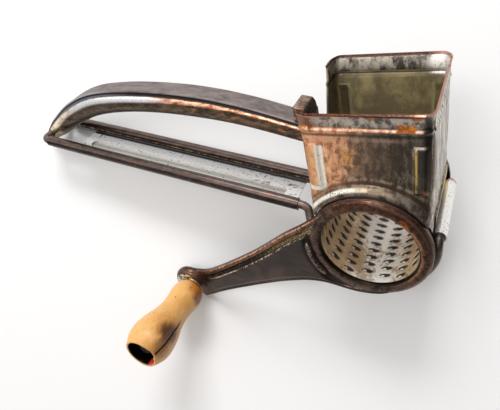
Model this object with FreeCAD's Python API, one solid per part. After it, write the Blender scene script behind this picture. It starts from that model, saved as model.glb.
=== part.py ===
import FreeCAD, Part
import math
import os
from FreeCAD import Vector

# Rotary hand grater, millimetres and degrees.
# The pieces are drawn upright: X runs from the handles to the hopper, Y runs from the crank to the back,
# Z runs up through the hopper's mouth, and the drum's axis is Y at x = 0, z = 0. The front wall's outer
# face is y = 0. The finished pieces are then laid down as the grater lies on a table.

# Sheet and wire
SHEET = 0.8                 # tinned sheet of the hopper and the upper handle
TROUGH_SHEET = 0.7          # sheet of the lower handle
WIRE_R = 2.0                # radius of the frame wire
WIRE_GAP = 0.1              # free space between the wire and the sheet rolled round it

# Hopper
HOPPER_HALF = 24.4          # half the hopper's width across X
HOPPER_DEPTH = 48.2         # outer face of the front wall to outer face of the back wall
BEAD_Z = 54.5               # height where the walls start to flare
RIM_Z = 61.7                # height of the rim
FLARE_Y = 2.6               # how far the rim leans out at front and back
FLARE_X = 0.6               # how far the rim leans out at the sides
CORNER_R = 3.6              # outside radius of the hopper's upright corners
FLANGE_END = 16.2           # length of the flanges beside the slot in the left side
SLOT_FLARE_Z = 40.0         # height where the slot starts to widen upwards
SLOT_FLARE_Y = 8.0          # how much further back each flange stops at the rim
COLLAR_OUTER_R = 30.5       # crease between the wall and the half-round collar
COLLAR_INNER_R = 26.5       # edge of the collar, just over the drum's rim
COLLAR_OUT = 2.8            # how far the collar stands out from its wall
MID_Y = HOPPER_DEPTH / 2

# Hinge of the hopper
HINGE_X = 26.5
HINGE_Z = 2.5
SLEEVE_WALL = 0.8
SLEEVE_BORE_R = 2.08
SLEEVE_Y = (5.7, 42.5)

# Frame wire: a loop under each end of the drum
LOOP_R = 26.0
LOOP_Y = 2.5
RAIL_HALF = 11.2            # half the distance between the two straight rails
RAIL_START = (-36.0, 6.2)   # x, z of the rails' centre line at the hopper's end
RAIL_SLOPE = 10.8           # degrees that the rails climb towards the far end
TIP_X = -187.0              # x of the cross bar that joins the rails and is the upper handle's hinge
WIRE_BEND_R = 3.4
SWAN_BEND_R = 5.0

# Lower handle
TROUGH_ENDS = (-182.6, -36.2)
FLOOR_ENDS = (-168.0, -39.0)
TROUGH_FLOOR = 3.5          # floor's top face below the rails' centre line
GROOVE_HALF = 3.2
GROOVE_DEEP = 0.9
GROOVE_ENDS = (-163.0, -46.0)

# Upper handle: x and z of its top, depth, and half widths of its flat top and of its lower edge
LEVER_STATIONS = (
    (-196.5, 31.2, 4.6, 2.2, 3.0),
    (-189.5, 37.4, 7.6, 3.2, 5.0),
    (-180.5, 44.2, 10.6, 4.2, 6.4),
    (-164.0, 53.8, 12.2, 5.2, 7.2),
    (-146.0, 59.9, 12.2, 5.7, 7.6),
    (-126.0, 61.6, 11.4, 5.7, 7.8),
    (-104.0, 61.0, 10.8, 5.7, 7.8),
    (-80.0, 58.4, 10.4, 5.7, 7.8),
    (-56.0, 53.3, 9.4, 5.7, 7.6),
    (-34.4, 46.7, 8.8, 5.7, 7.4),
)

# Presser
CAP_X = (-33.6, -27.2)
CAP_TOP = 53.7
CAP_BOTTOM = 46.9
STEM_HALF = 6.0
STEM_SHEET = 1.2
PLATE_R = 23.7              # underside of the presser plate
PLATE_SHEET = 1.0
PLATE_HALF = 14.0
PLATE_HALF_ANGLE = 46.0
PRESSER_RIVET_R = 1.5

# Drum
DRUM_R = 21.0
DRUM_SHEET = 0.5
DRUM_Y = (-3.4, 51.6)
HOLE_COLUMNS = 16
HOLE_ROWS = 11
HOLE_PITCH = 4.5
HOLE_STEP = 1.5             # each column starts this much nearer the front than the one before
HOLE_FIRST_Y = -0.3
HOLE_R = 1.1
HUB_R = 23.7                # neck that turns inside the wire loops
HUB_FLANGE_R = 24.3
HUB_FLANGE_IN = 8.65        # from the rim's face to the flange behind the wire loop
RIM_R = 26.0                # drum's rims, under the collars

# Crank
RIM_FACE_Y = -5.4
CRANK_ANGLE = 202.3         # direction of the arm, seen from the front, from +X towards +Z
BOSS_CENTRE = (110.4, -0.8)  # along the arm, and across it
KNOB_SEAT = (108.4, -3.0)   # where the knob's axis meets the boss
ARM_SHEET = 1.4
ARM_FLANGE = 0.9            # how far the arm's edges are turned back
PANEL_RAISED = 1.1
PANEL_INSETS = (5.2, 1.8)
PANEL_END = 98.0
BOSS_R = 7.2
BOSS_FACE_Y = -8.6
KNOB_LEAN = -4.4            # the knob's free end leans up by this turn about X
KNOB_SWING = -1.7           # and outwards by this turn about Z

# Knob and its spindle
KNOB_Y = (-57.4, -9.9)
KNOB_BORE_R = 2.6
SPINDLE_R = 2.5
COUNTERBORE_R = 7.4
COUNTERBORE_DEEP = 6.5
SPINDLE_HEAD_R = 4.2
TAIL_R = 4.0
WASHER_R = 6.2

# How it lies: turned back about X, then tip down about Y
LEAN_BACK = 50.6
TIP_DOWN = 15.1
REST_SHIFT = Vector(76.52, -2.8, 55.74)

AXIS_X = Vector(1, 0, 0)
AXIS_Y = Vector(0, 1, 0)
AXIS_Z = Vector(0, 0, 1)
ORIGIN = Vector(0, 0, 0)


def lay_down(shape):
    """Turns an upright piece into the pose in which the grater lies on a table."""
    laid = shape.copy()
    laid.rotate(ORIGIN, AXIS_X, -LEAN_BACK)
    laid.rotate(ORIGIN, AXIS_Y, -TIP_DOWN)
    laid.translate(REST_SHIFT)
    return laid


def joined(pieces):
    """One clean solid from pieces that overlap or share faces."""
    whole = pieces[0].multiFuse(pieces[1:]) if len(pieces) > 1 else pieces[0]
    whole = whole.removeSplitter()
    return whole.Solids[0] if len(whole.Solids) == 1 else whole


def box(x_ends, y_ends, z_ends):
    corner = Vector(x_ends[0], y_ends[0], z_ends[0])
    return Part.makeBox(x_ends[1] - x_ends[0], y_ends[1] - y_ends[0], z_ends[1] - z_ends[0], corner)


def cylinder_y(radius, y_ends, x=0.0, z=0.0):
    return Part.makeCylinder(radius, y_ends[1] - y_ends[0], Vector(x, y_ends[0], z), AXIS_Y)


def turned(profile, x=0.0, z=0.0):
    """Solid of revolution about a line along Y; the profile is a list of (radius, y) corners."""
    corners = [Vector(x + radius, y, z) for radius, y in profile]
    face = Part.Face(Part.makePolygon(corners + corners[:1]))
    return face.revolve(Vector(x, 0, z), AXIS_Y, 360)


def prism_xz(corners, y_ends):
    """Solid with an outline of (x, z) corners, running along Y."""
    outline = [Vector(x, y_ends[0], z) for x, z in corners]
    face = Part.Face(Part.makePolygon(outline + outline[:1]))
    return face.extrude(Vector(0, y_ends[1] - y_ends[0], 0))


def rounded_path(points, bend_radii):
    """Straight runs joined by tangent arcs, as one wire."""
    edges = []
    start = points[0]
    for before, corner, after, bend in zip(points, points[1:], points[2:], bend_radii):
        incoming = (corner - before).normalize()
        outgoing = (after - corner).normalize()
        half_turn = incoming.getAngle(outgoing) / 2
        setback = bend * math.tan(half_turn)
        arc_start = corner - incoming * setback
        arc_end = corner + outgoing * setback
        inward = (outgoing - incoming).normalize()
        arc_middle = corner + inward * (bend / math.cos(half_turn) - bend)
        if arc_start.distanceToPoint(start) > 1e-4:
            edges.append(Part.LineSegment(start, arc_start).toShape())
        edges.append(Part.Arc(arc_start, arc_middle, arc_end).toShape())
        start = arc_end
    edges.append(Part.LineSegment(start, points[-1]).toShape())
    return Part.Wire(edges)


def bent_rod(points, bend_radii, radius):
    """Round rod along a rounded path."""
    path = rounded_path(points, bend_radii)
    section = Part.Wire([Part.Circle(points[0], points[1] - points[0], radius).toShape()])
    return path.makePipeShell([section], True, False)


def mirrored_in_depth(shape):
    """The same piece on the other side of the plane halfway between front and back walls."""
    return shape.mirror(Vector(0, MID_Y, 0), AXIS_Y)


def rail_z(x):
    """Height of the rails' centre line."""
    return RAIL_START[1] + (RAIL_START[0] - x) * math.tan(math.radians(RAIL_SLOPE))


# Frame ------------------------------------------------------------------------------------------

def frame_wire():
    """Closed wire: cross bar at the tip, two rails, a loop under each drum end, and the hinge rod."""
    rail_y = MID_Y - RAIL_HALF
    route = [
        Vector(TIP_X, MID_Y, rail_z(TIP_X)),
        Vector(TIP_X, rail_y, rail_z(TIP_X)),
        Vector(-31.6, rail_y, rail_z(-31.6)),
        Vector(-LOOP_R - 0.6, LOOP_Y, 2.6),
        Vector(-LOOP_R, LOOP_Y, -LOOP_R),
        Vector(LOOP_R, LOOP_Y, -LOOP_R),
        Vector(HINGE_X, LOOP_Y, HINGE_Z),
        Vector(HINGE_X, MID_Y, HINGE_Z),
    ]
    bends = (WIRE_BEND_R, SWAN_BEND_R, SWAN_BEND_R, LOOP_R - 1.0, LOOP_R - 1.0, 3.1)
    front_half = bent_rod(route, bends, WIRE_R)
    return joined([front_half, mirrored_in_depth(front_half)])


def rolled_edge(length):
    """Sheet curled round one rail, open towards the inside, with a step down to the floor's level."""
    inner = WIRE_R + WIRE_GAP
    outer = inner + TROUGH_SHEET
    tube = Part.makeCylinder(outer, length, ORIGIN, AXIS_X)
    hole = Part.makeCylinder(inner, length, ORIGIN, AXIS_X)
    mouth = box((0, length), (1.0, outer), (-outer, -0.3))
    step = box((0, length), (0.2, 0.2 + TROUGH_SHEET), (-TROUGH_FLOOR - TROUGH_SHEET, -inner - 0.1))
    return joined([tube.cut(hole).cut(mouth), step])


def lower_handle():
    """Sheet trough whose edges are rolled round the rails, with a groove pressed along its floor."""
    cosine = math.cos(math.radians(RAIL_SLOPE))
    length = (TROUGH_ENDS[1] - TROUGH_ENDS[0]) / cosine
    floor_start = (FLOOR_ENDS[0] - TROUGH_ENDS[0]) / cosine
    floor_end = (FLOOR_ENDS[1] - TROUGH_ENDS[0]) / cosine
    side = rolled_edge(length)
    front = side.copy()
    front.translate(Vector(0, -RAIL_HALF, 0))
    back = side.mirror(ORIGIN, AXIS_Y)
    back.translate(Vector(0, RAIL_HALF, 0))
    half_floor = RAIL_HALF - 0.2
    floor = box((floor_start, floor_end), (-half_floor, half_floor),
                (-TROUGH_FLOOR - TROUGH_SHEET, -TROUGH_FLOOR))
    groove_start = (GROOVE_ENDS[0] - TROUGH_ENDS[0]) / cosine
    groove_end = (GROOVE_ENDS[1] - TROUGH_ENDS[0]) / cosine
    floor = floor.cut(slot_block(groove_start, groove_end, GROOVE_HALF, TROUGH_SHEET))
    pressed = slot_block(groove_start, groove_end, GROOVE_HALF + TROUGH_SHEET, GROOVE_DEEP + TROUGH_SHEET)
    hollow = slot_block(groove_start, groove_end, GROOVE_HALF, GROOVE_DEEP)
    trough = joined([front, back, floor.fuse(pressed.cut(hollow))])
    trough.rotate(ORIGIN, AXIS_Y, RAIL_SLOPE)
    trough.translate(Vector(TROUGH_ENDS[0], MID_Y, rail_z(TROUGH_ENDS[0])))
    return trough


def slot_block(start, end, half_width, depth):
    """Block with round ends, standing under the trough's floor level along the trough."""
    top = -TROUGH_FLOOR
    block = box((start + half_width, end - half_width), (-half_width, half_width), (top - depth, top))
    ends = [Part.makeCylinder(half_width, depth, Vector(x, 0, top - depth), AXIS_Z)
            for x in (start + half_width, end - half_width)]
    return joined([block] + ends)


# Hopper -----------------------------------------------------------------------------------------

def hopper_section(lean_x, lean_y, z):
    """Closed outline of the hopper's bent sheet at one height: three walls and two short flanges."""
    half = HOPPER_HALF + lean_x
    outer = CORNER_R
    inner = CORNER_R - SHEET
    front = -lean_y
    back = HOPPER_DEPTH + lean_y
    left_in = -half + SHEET
    right_in = half - SHEET
    diagonal = math.sqrt(0.5)

    def corner(centre_x, centre_y, radius, from_x, from_y, to_x, to_y):
        """Arc about a corner's centre; the directions are unit steps along X or Y."""
        start = Vector(centre_x + radius * from_x, centre_y + radius * from_y, z)
        middle = Vector(centre_x + radius * (from_x + to_x) * diagonal,
                        centre_y + radius * (from_y + to_y) * diagonal, z)
        end = Vector(centre_x + radius * to_x, centre_y + radius * to_y, z)
        return Part.Arc(start, middle, end).toShape()

    x_left, x_right = -half + outer, half - outer
    y_front, y_back = front + outer, back - outer
    pieces = [
        corner(x_left, y_front, outer, -1, 0, 0, -1),
        corner(x_right, y_front, outer, 0, -1, 1, 0),
        corner(x_right, y_back, outer, 1, 0, 0, 1),
        corner(x_left, y_back, outer, 0, 1, -1, 0),
        corner(x_left, y_back, inner, -1, 0, 0, 1),
        corner(x_right, y_back, inner, 0, 1, 1, 0),
        corner(x_right, y_front, inner, 1, 0, 0, -1),
        corner(x_left, y_front, inner, 0, -1, -1, 0),
    ]
    flange_front = front + FLANGE_END
    flange_back = back - FLANGE_END
    edges = []
    for index, piece in enumerate(pieces):
        edges.append(piece)
        end = piece.valueAt(piece.LastParameter)
        if index == 3:
            turn = [end, Vector(-half, flange_back, z), Vector(left_in, flange_back, z)]
        elif index == 7:
            turn = [end, Vector(left_in, flange_front, z), Vector(-half, flange_front, z)]
        else:
            turn = [end]
        following = pieces[(index + 1) % len(pieces)]
        turn.append(following.valueAt(following.FirstParameter))
        edges.extend(Part.LineSegment(a, b).toShape() for a, b in zip(turn, turn[1:]))
    return Part.Wire(edges)


def collar(wall_y, outward):
    """Half-round collar that bends out of a wall and stands over the drum's rim."""
    lip = COLLAR_INNER_R
    profile = [
        (COLLAR_OUTER_R, wall_y),
        (lip + 0.4, wall_y + outward * COLLAR_OUT),
        (lip, wall_y + outward * (COLLAR_OUT - 0.3)),
        (lip, wall_y + outward * (COLLAR_OUT - 1.0)),
        (COLLAR_OUTER_R, wall_y - outward * SHEET),
    ]
    ring = turned(profile)
    y_low = min(wall_y, wall_y + outward * COLLAR_OUT) - SHEET
    y_high = max(wall_y, wall_y + outward * COLLAR_OUT) + SHEET
    keep = box((-HOPPER_HALF, HOPPER_HALF), (y_low, y_high), (0, COLLAR_OUTER_R + 1))
    return ring.common(keep)


def raised_bands():
    """Shallow upright bands pressed out of the front and back walls, near their edges."""
    bands = []
    for x_low, x_high in ((-23.0, -17.8), (17.8, 22.4)):
        bands.append(box((x_low, x_high), (-0.5, 0.2), (28.0, 48.0)))
        bands.append(box((x_low, x_high), (HOPPER_DEPTH - 0.2, HOPPER_DEPTH + 0.5), (28.0, 48.0)))
    return bands


def hinge_sleeve():
    """Lower edge of the right wall, rolled into a sleeve round the hinge rod."""
    bore = cylinder_y(SLEEVE_BORE_R, SLEEVE_Y, HINGE_X, HINGE_Z)
    return cylinder_y(SLEEVE_BORE_R + SLEEVE_WALL, SLEEVE_Y, HINGE_X, HINGE_Z).cut(bore)


def presser_slot():
    """Room in the left side for the presser's stem: parallel below, widening upwards."""
    low_y, high_y = FLANGE_END, HOPPER_DEPTH - FLANGE_END
    outline = [(low_y, 0), (high_y, 0), (high_y, SLOT_FLARE_Z), (high_y + SLOT_FLARE_Y, RIM_Z + 0.1),
               (low_y - SLOT_FLARE_Y, RIM_Z + 0.1), (low_y, SLOT_FLARE_Z)]
    corners = [Vector(-HOPPER_HALF - 3, y, z) for y, z in outline]
    return Part.Face(Part.makePolygon(corners + corners[:1])).extrude(Vector(6, 0, 0))


def hopper_shell():
    """Bent and flared sheet, with its collars, raised bands and hinge sleeve."""
    foot = HINGE_Z
    front_wall = (-1, CORNER_R)
    back_wall = (HOPPER_DEPTH - CORNER_R, HOPPER_DEPTH + 1)
    walls = Part.Face(hopper_section(0, 0, foot)).extrude(Vector(0, 0, BEAD_Z - foot))
    rim = hopper_section(FLARE_X, FLARE_Y, RIM_Z)
    flare = Part.makeLoft([hopper_section(0, 0, BEAD_Z), rim], True, True)
    for wall in (front_wall, back_wall):
        walls = walls.cut(cylinder_y(COLLAR_OUTER_R - 0.2, wall))
    walls = walls.cut(presser_slot())
    flare = flare.cut(presser_slot())
    wall_bottom = math.sqrt(COLLAR_INNER_R ** 2 - HOPPER_HALF ** 2) + 0.6
    x_reach = HOPPER_HALF + 1
    low_front = box((-x_reach, x_reach), (-1, SLEEVE_Y[0]), (foot - 1, wall_bottom))
    low_back = box((-x_reach, x_reach), (SLEEVE_Y[1], HOPPER_DEPTH + 1), (foot - 1, wall_bottom))
    low_left = box((-x_reach, 0), (-1, HOPPER_DEPTH + 1), (foot - 1, wall_bottom))
    walls = walls.cut(low_front).cut(low_back).cut(low_left)
    collars = [collar(0, -1), collar(HOPPER_DEPTH, 1)]
    shell = joined([walls, flare, hinge_sleeve()] + collars + raised_bands())
    return shell.cut(cylinder_y(SLEEVE_BORE_R, (0, HOPPER_DEPTH), HINGE_X, HINGE_Z))


# Upper handle and presser -----------------------------------------------------------------------

def lever_directions():
    """Unit direction of the upper handle's top at each station, in the XZ plane."""
    tops = [Vector(station[0], MID_Y, station[1]) for station in LEVER_STATIONS]
    directions = []
    for index in range(len(tops)):
        before = tops[max(index - 1, 0)]
        after = tops[min(index + 1, len(tops) - 1)]
        directions.append((after - before).normalize())
    return directions


def lever_section(station, direction, sheet_in, open_below):
    """Outline of the inverted channel, square to its direction; sheet_in shrinks it to the inner face."""
    x, z, depth, half_top, half_low = station
    up = Vector(-direction.z, 0, direction.x)
    top = Vector(x, MID_Y, z) - up * sheet_in
    low = Vector(x, MID_Y, z) - up * (depth + open_below)
    half_top = half_top - sheet_in * 0.6
    half_low = half_low - sheet_in
    shoulder = 1.6
    corners = [
        low - AXIS_Y * half_low,
        top - AXIS_Y * half_low - up * (depth * 0.42),
        top - AXIS_Y * half_top - up * 0.25,
        top - AXIS_Y * (half_top - shoulder),
        top + AXIS_Y * (half_top - shoulder),
        top + AXIS_Y * half_top - up * 0.25,
        top + AXIS_Y * half_low - up * (depth * 0.42),
        low + AXIS_Y * half_low,
    ]
    return Part.makePolygon(corners + corners[:1])


def upper_handle():
    """Arched inverted channel, closed at its nose and hinged on the frame's cross bar."""
    directions = lever_directions()
    outer = [lever_section(s, d, 0, 0) for s, d in zip(LEVER_STATIONS, directions)]
    body = Part.makeLoft(outer, True, False)
    inner = [lever_section(s, d, SHEET, 3) for s, d in zip(LEVER_STATIONS, directions)]
    inner[0].translate(Vector(1.2, 0, 0.4))
    last = LEVER_STATIONS[-1]
    beyond = (last[0] + 3 * directions[-1].x, last[1] + 3 * directions[-1].z) + last[2:]
    inner.append(lever_section(beyond, directions[-1], SHEET, 3))
    channel = body.cut(Part.makeLoft(inner, True, False))
    pin_hole = cylinder_y(WIRE_R + 0.08, (0, HOPPER_DEPTH), TIP_X, rail_z(TIP_X))
    return channel.cut(pin_hole)


def arc_strip(inner_r, outer_r, start_angle, end_angle, y_ends):
    """Curved strip about the drum's axis; angles run from +X towards +Z."""
    def point(radius, degrees):
        angle = math.radians(degrees)
        return Vector(radius * math.cos(angle), y_ends[0], radius * math.sin(angle))
    middle = (start_angle + end_angle) / 2
    outline = Part.Wire([
        Part.Arc(point(outer_r, start_angle), point(outer_r, middle), point(outer_r, end_angle)).toShape(),
        Part.LineSegment(point(outer_r, end_angle), point(inner_r, end_angle)).toShape(),
        Part.Arc(point(inner_r, end_angle), point(inner_r, middle), point(inner_r, start_angle)).toShape(),
        Part.LineSegment(point(inner_r, start_angle), point(outer_r, start_angle)).toShape(),
    ])
    return Part.Face(outline).extrude(Vector(0, y_ends[1] - y_ends[0], 0))


def presser_stem():
    """Folded cap at the upper handle's end, a leg down beside the hopper, and a foot over the plate."""
    y_ends = (MID_Y - STEM_HALF, MID_Y + STEM_HALF)
    shoulder = 1.6
    cap_outline = [
        (CAP_X[0], CAP_BOTTOM), (CAP_X[0], CAP_TOP), (CAP_X[1] - shoulder, CAP_TOP - 0.8),
        (CAP_X[1], CAP_TOP - 0.8 - shoulder), (CAP_X[1], CAP_BOTTOM - 8),
        (CAP_X[1] - STEM_SHEET, CAP_BOTTOM - 8), (CAP_X[1] - STEM_SHEET, CAP_BOTTOM),
    ]
    hollow = box((CAP_X[0] + 1, CAP_X[1] - STEM_SHEET), (y_ends[0] + 1, y_ends[1] - 1),
                 (CAP_BOTTOM - 1, CAP_TOP - 2.2))
    cap = prism_xz(cap_outline, y_ends).cut(hollow)
    bend_z = 30.0
    foot_r = PLATE_R + PLATE_SHEET
    foot_angle = 130.0
    foot_x = foot_r * math.cos(math.radians(foot_angle))
    foot_z = foot_r * math.sin(math.radians(foot_angle))
    slant_x = STEM_SHEET * math.cos(math.radians(foot_angle))
    slant_z = STEM_SHEET * math.sin(math.radians(foot_angle))
    leg = prism_xz([
        (CAP_X[1], CAP_BOTTOM - 4), (CAP_X[1], bend_z), (foot_x + slant_x, foot_z + slant_z),
        (foot_x, foot_z), (CAP_X[1] - STEM_SHEET, bend_z - 0.5), (CAP_X[1] - STEM_SHEET, CAP_BOTTOM - 4),
    ], y_ends)
    foot = arc_strip(foot_r, foot_r + STEM_SHEET, 62, foot_angle, y_ends)
    tongue = prism_xz([(-46.0, 49.3), (-33.4, 45.3), (CAP_X[1] - 0.6, 45.3), (CAP_X[1] - 0.6, 44.2),
                       (-33.7, 44.2), (-46.3, 48.2)], (MID_Y - 4.2, MID_Y + 4.2))
    stem = joined([cap, leg, foot, tongue])
    return stem.cut(joined(presser_rivets(PRESSER_RIVET_R)))


def presser_plate():
    """Curved plate that follows the drum, with its front and back edges turned up."""
    low, high = 90 - PLATE_HALF_ANGLE, 90 + PLATE_HALF_ANGLE
    y_ends = (MID_Y - PLATE_HALF, MID_Y + PLATE_HALF)
    plate = arc_strip(PLATE_R, PLATE_R + PLATE_SHEET, low, high, y_ends)
    lips = [arc_strip(PLATE_R, PLATE_R + 3.4, low, high, ends)
            for ends in ((y_ends[0], y_ends[0] + PLATE_SHEET), (y_ends[1] - PLATE_SHEET, y_ends[1]))]
    return joined([plate] + lips).cut(joined(presser_rivets(PRESSER_RIVET_R)))


def presser_rivets(shank_r):
    """Shanks of the two rivets that hold the foot on the plate, pointing away from the drum's axis."""
    shanks = []
    for angle in (75.0, 105.0):
        out = Vector(math.cos(math.radians(angle)), 0, math.sin(math.radians(angle)))
        start = out * (PLATE_R - 0.2) + Vector(0, MID_Y, 0)
        shanks.append(Part.makeCylinder(shank_r, PLATE_SHEET + STEM_SHEET + 0.4, start, out))
    return shanks


def stem_rivets():
    """The two rivets, each with a shank, a round head over the foot and a flat tail under the plate."""
    rivets = []
    for shank, angle in zip(presser_rivets(PRESSER_RIVET_R - 0.02), (75.0, 105.0)):
        out = Vector(math.cos(math.radians(angle)), 0, math.sin(math.radians(angle)))
        centre = Vector(0, MID_Y, 0)
        top = centre + out * (PLATE_R + PLATE_SHEET + STEM_SHEET + 0.12)
        head = Part.makeSphere(2.9, top - out * 1.5).common(Part.makeCylinder(2.8, 3, top, out))
        tail = Part.makeCylinder(2.1, 0.3, centre + out * (PLATE_R - 0.45), out)
        rivets.append(joined([shank, head, tail]))
    return Part.makeCompound(rivets)


# Drum and crank ---------------------------------------------------------------------------------

def drum_shell():
    """Thin cylinder with rows of grating holes that wind round it."""
    shell = cylinder_y(DRUM_R, DRUM_Y).cut(cylinder_y(DRUM_R - DRUM_SHEET, DRUM_Y))
    cutters = []
    for column in range(HOLE_COLUMNS):
        angle = 2 * math.pi * (column + 0.5) / HOLE_COLUMNS
        out = Vector(math.cos(angle), 0, math.sin(angle))
        offset = HOLE_STEP * ((1 - column) % round(HOLE_PITCH / HOLE_STEP))
        for row in range(HOLE_ROWS):
            start = out * (DRUM_R - 2) + Vector(0, HOLE_FIRST_Y + offset + row * HOLE_PITCH, 0)
            cutters.append(Part.makeCylinder(HOLE_R, 4, start, out))
    return shell.cut(Part.makeCompound(cutters))


def hub(face_y, inward):
    """Grooved ring on one end of the drum; its neck turns between the wire loop and the collar."""
    bore = DRUM_R + 0.05
    profile = [
        (bore, face_y), (RIM_R - 0.8, face_y), (RIM_R, face_y + inward * 0.8),
        (RIM_R, face_y + inward * 3.0), (RIM_R - 0.8, face_y + inward * 3.0),
        (RIM_R - 0.8, face_y + inward * 1.2), (HUB_R, face_y + inward * 1.2),
        (HUB_R, face_y + inward * HUB_FLANGE_IN), (HUB_FLANGE_R, face_y + inward * HUB_FLANGE_IN),
        (HUB_FLANGE_R, face_y + inward * (HUB_FLANGE_IN + 0.8)),
        (HUB_R - 0.8, face_y + inward * (HUB_FLANGE_IN + 0.8)),
        (HUB_R - 0.8, face_y + inward * 1.2), (bore, face_y + inward * 1.2),
    ]
    return turned(profile)


def front_hub():
    return hub(RIM_FACE_Y + ARM_SHEET + 0.05, 1)


def rear_hub():
    """Rear bearing ring, with a lip that closes over the drum's end."""
    face_y = HOPPER_DEPTH - RIM_FACE_Y - ARM_SHEET - 0.05
    inner, outer = DRUM_R - 1.6, DRUM_R + 0.6
    lip = turned([(inner, face_y), (outer, face_y), (outer, face_y + 0.9), (inner, face_y + 0.9)])
    return joined([hub(face_y, -1), lip])


def arm_point(along, across, y):
    """Point in the crank's own directions: along the arm, and across it towards its upper edge."""
    angle = math.radians(CRANK_ANGLE)
    along_dir = Vector(math.cos(angle), 0, math.sin(angle))
    across_dir = Vector(math.sin(angle), 0, -math.cos(angle))
    return along_dir * along + across_dir * across + Vector(0, y, 0)


def arm_outline(upper_inset, lower_inset, y):
    """Outline of the arm from the ring to the boss, as a closed wire of straight and curved edges."""
    upper = [(10.0, 23.0), (22.0, 19.4), (34.4, 16.6), (46.0, 13.2), (57.4, 10.0), (73.3, 6.6), (90.0, 3.8),
             (98.0, 3.6), (104.0, 4.8), (109.0, 6.0)]
    lower = [(108.6, -14.0), (97.0, -12.6), (80.0, -11.4), (62.0, -10.8), (48.0, -10.9), (40.0, -11.6),
             (34.0, -12.8), (29.0, -14.6), (25.0, -16.9), (21.0, -19.6), (16.0, -22.6), (10.0, -24.6)]
    upper_edge = Part.BSplineCurve()
    upper_edge.interpolate([arm_point(a, c - upper_inset, y) for a, c in upper])
    lower_edge = Part.BSplineCurve()
    lower_edge.interpolate([arm_point(a, c + lower_inset, y) for a, c in lower])
    return upper_edge.toShape(), lower_edge.toShape()


def arm_plate(upper_inset, lower_inset, y, thickness):
    """Flat piece with the arm's outline, drawn in from its two edges."""
    upper, lower = arm_outline(upper_inset, lower_inset, y)
    start_upper = upper.valueAt(upper.FirstParameter)
    end_upper = upper.valueAt(upper.LastParameter)
    start_lower = lower.valueAt(lower.FirstParameter)
    end_lower = lower.valueAt(lower.LastParameter)
    outline = Part.Wire([upper, Part.LineSegment(end_upper, start_lower).toShape(), lower,
                         Part.LineSegment(end_lower, start_upper).toShape()])
    return Part.Face(outline).extrude(Vector(0, thickness, 0))


def crank_arm():
    """Stamped crank: a ring round the drum's mouth and an arm with turned-back edges and a cupped boss."""
    ring = turned([
        (DRUM_R - 0.5, RIM_FACE_Y + 0.6), (DRUM_R + 0.1, RIM_FACE_Y), (RIM_R - 0.9, RIM_FACE_Y),
        (RIM_R, RIM_FACE_Y + 0.5), (RIM_R, RIM_FACE_Y + ARM_SHEET), (DRUM_R - 0.5, RIM_FACE_Y + ARM_SHEET),
    ])
    depth = ARM_SHEET + ARM_FLANGE
    skin = arm_plate(0, 0, RIM_FACE_Y, depth)
    inside = arm_plate(ARM_SHEET, ARM_SHEET, RIM_FACE_Y + ARM_SHEET, depth)
    panel = arm_plate(PANEL_INSETS[0], PANEL_INSETS[1], RIM_FACE_Y - PANEL_RAISED, ARM_SHEET)
    end_xz = arm_point(PANEL_END + 20, -8, 0)
    panel = panel.cut(cylinder_y(20, (-20, 0), end_xz.x, end_xz.z))
    clear_ring = cylinder_y(RIM_R, (-20, 20))
    centre = arm_point(BOSS_CENTRE[0], BOSS_CENTRE[1], 0)
    boss = cylinder_y(BOSS_R, (BOSS_FACE_Y - 1, RIM_FACE_Y + depth), centre.x, centre.z)
    boss_hollow = cylinder_y(BOSS_R - ARM_SHEET, (BOSS_FACE_Y + ARM_SHEET, 5), centre.x, centre.z)
    arm = joined([skin, panel]).cut(inside).cut(clear_ring)
    arm = joined([arm, ring, boss]).cut(boss_hollow)
    seat = cylinder_y(3 * BOSS_R, (BOSS_FACE_Y - 9, BOSS_FACE_Y), *knob_xz())
    hole = cylinder_y(SPINDLE_R - 0.02, (-20, 5), *knob_xz())
    tail_room = cylinder_y(TAIL_R + 0.2, (BOSS_FACE_Y + ARM_SHEET, 5), *knob_xz())
    return arm.cut(tilted(joined([seat, hole, tail_room])))


def knob_xz():
    """Where the knob's axis meets the arm's plane."""
    centre = arm_point(KNOB_SEAT[0], KNOB_SEAT[1], 0)
    return centre.x, centre.z


def tilted(shape):
    """Leans a piece with the knob's axis, about the point where that axis meets the boss."""
    x, z = knob_xz()
    leaned = shape.copy()
    leaned.rotate(Vector(x, BOSS_FACE_Y, z), AXIS_X, KNOB_LEAN)
    leaned.rotate(Vector(x, BOSS_FACE_Y, z), AXIS_Z, KNOB_SWING)
    return leaned


def knob_spindle():
    """Pin through boss and knob, with a riveted tail behind the boss and a head in the knob's bore."""
    x, z = knob_xz()
    seat_y = KNOB_Y[0] + COUNTERBORE_DEEP
    return tilted(turned([
        (0, seat_y - 3.6), (2.6, seat_y - 3.4), (SPINDLE_HEAD_R, seat_y - 2.2),
        (SPINDLE_HEAD_R, seat_y - 1.3), (SPINDLE_R, seat_y - 1.3),
        (SPINDLE_R, BOSS_FACE_Y - 0.05), (SPINDLE_R - 0.06, BOSS_FACE_Y - 0.05),
        (SPINDLE_R - 0.06, BOSS_FACE_Y + ARM_SHEET + 0.05),
        (TAIL_R, BOSS_FACE_Y + ARM_SHEET + 0.05),
        (TAIL_R - 0.6, BOSS_FACE_Y + ARM_SHEET + 1.4), (0, BOSS_FACE_Y + ARM_SHEET + 1.7),
    ], x, z))


def boss_washer():
    x, z = knob_xz()
    bore = SPINDLE_R + 0.05
    front, back = BOSS_FACE_Y - 1.0, BOSS_FACE_Y - 0.1
    return tilted(turned([(bore, front), (WASHER_R, front), (WASHER_R, back), (bore, back)], x, z))


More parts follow.
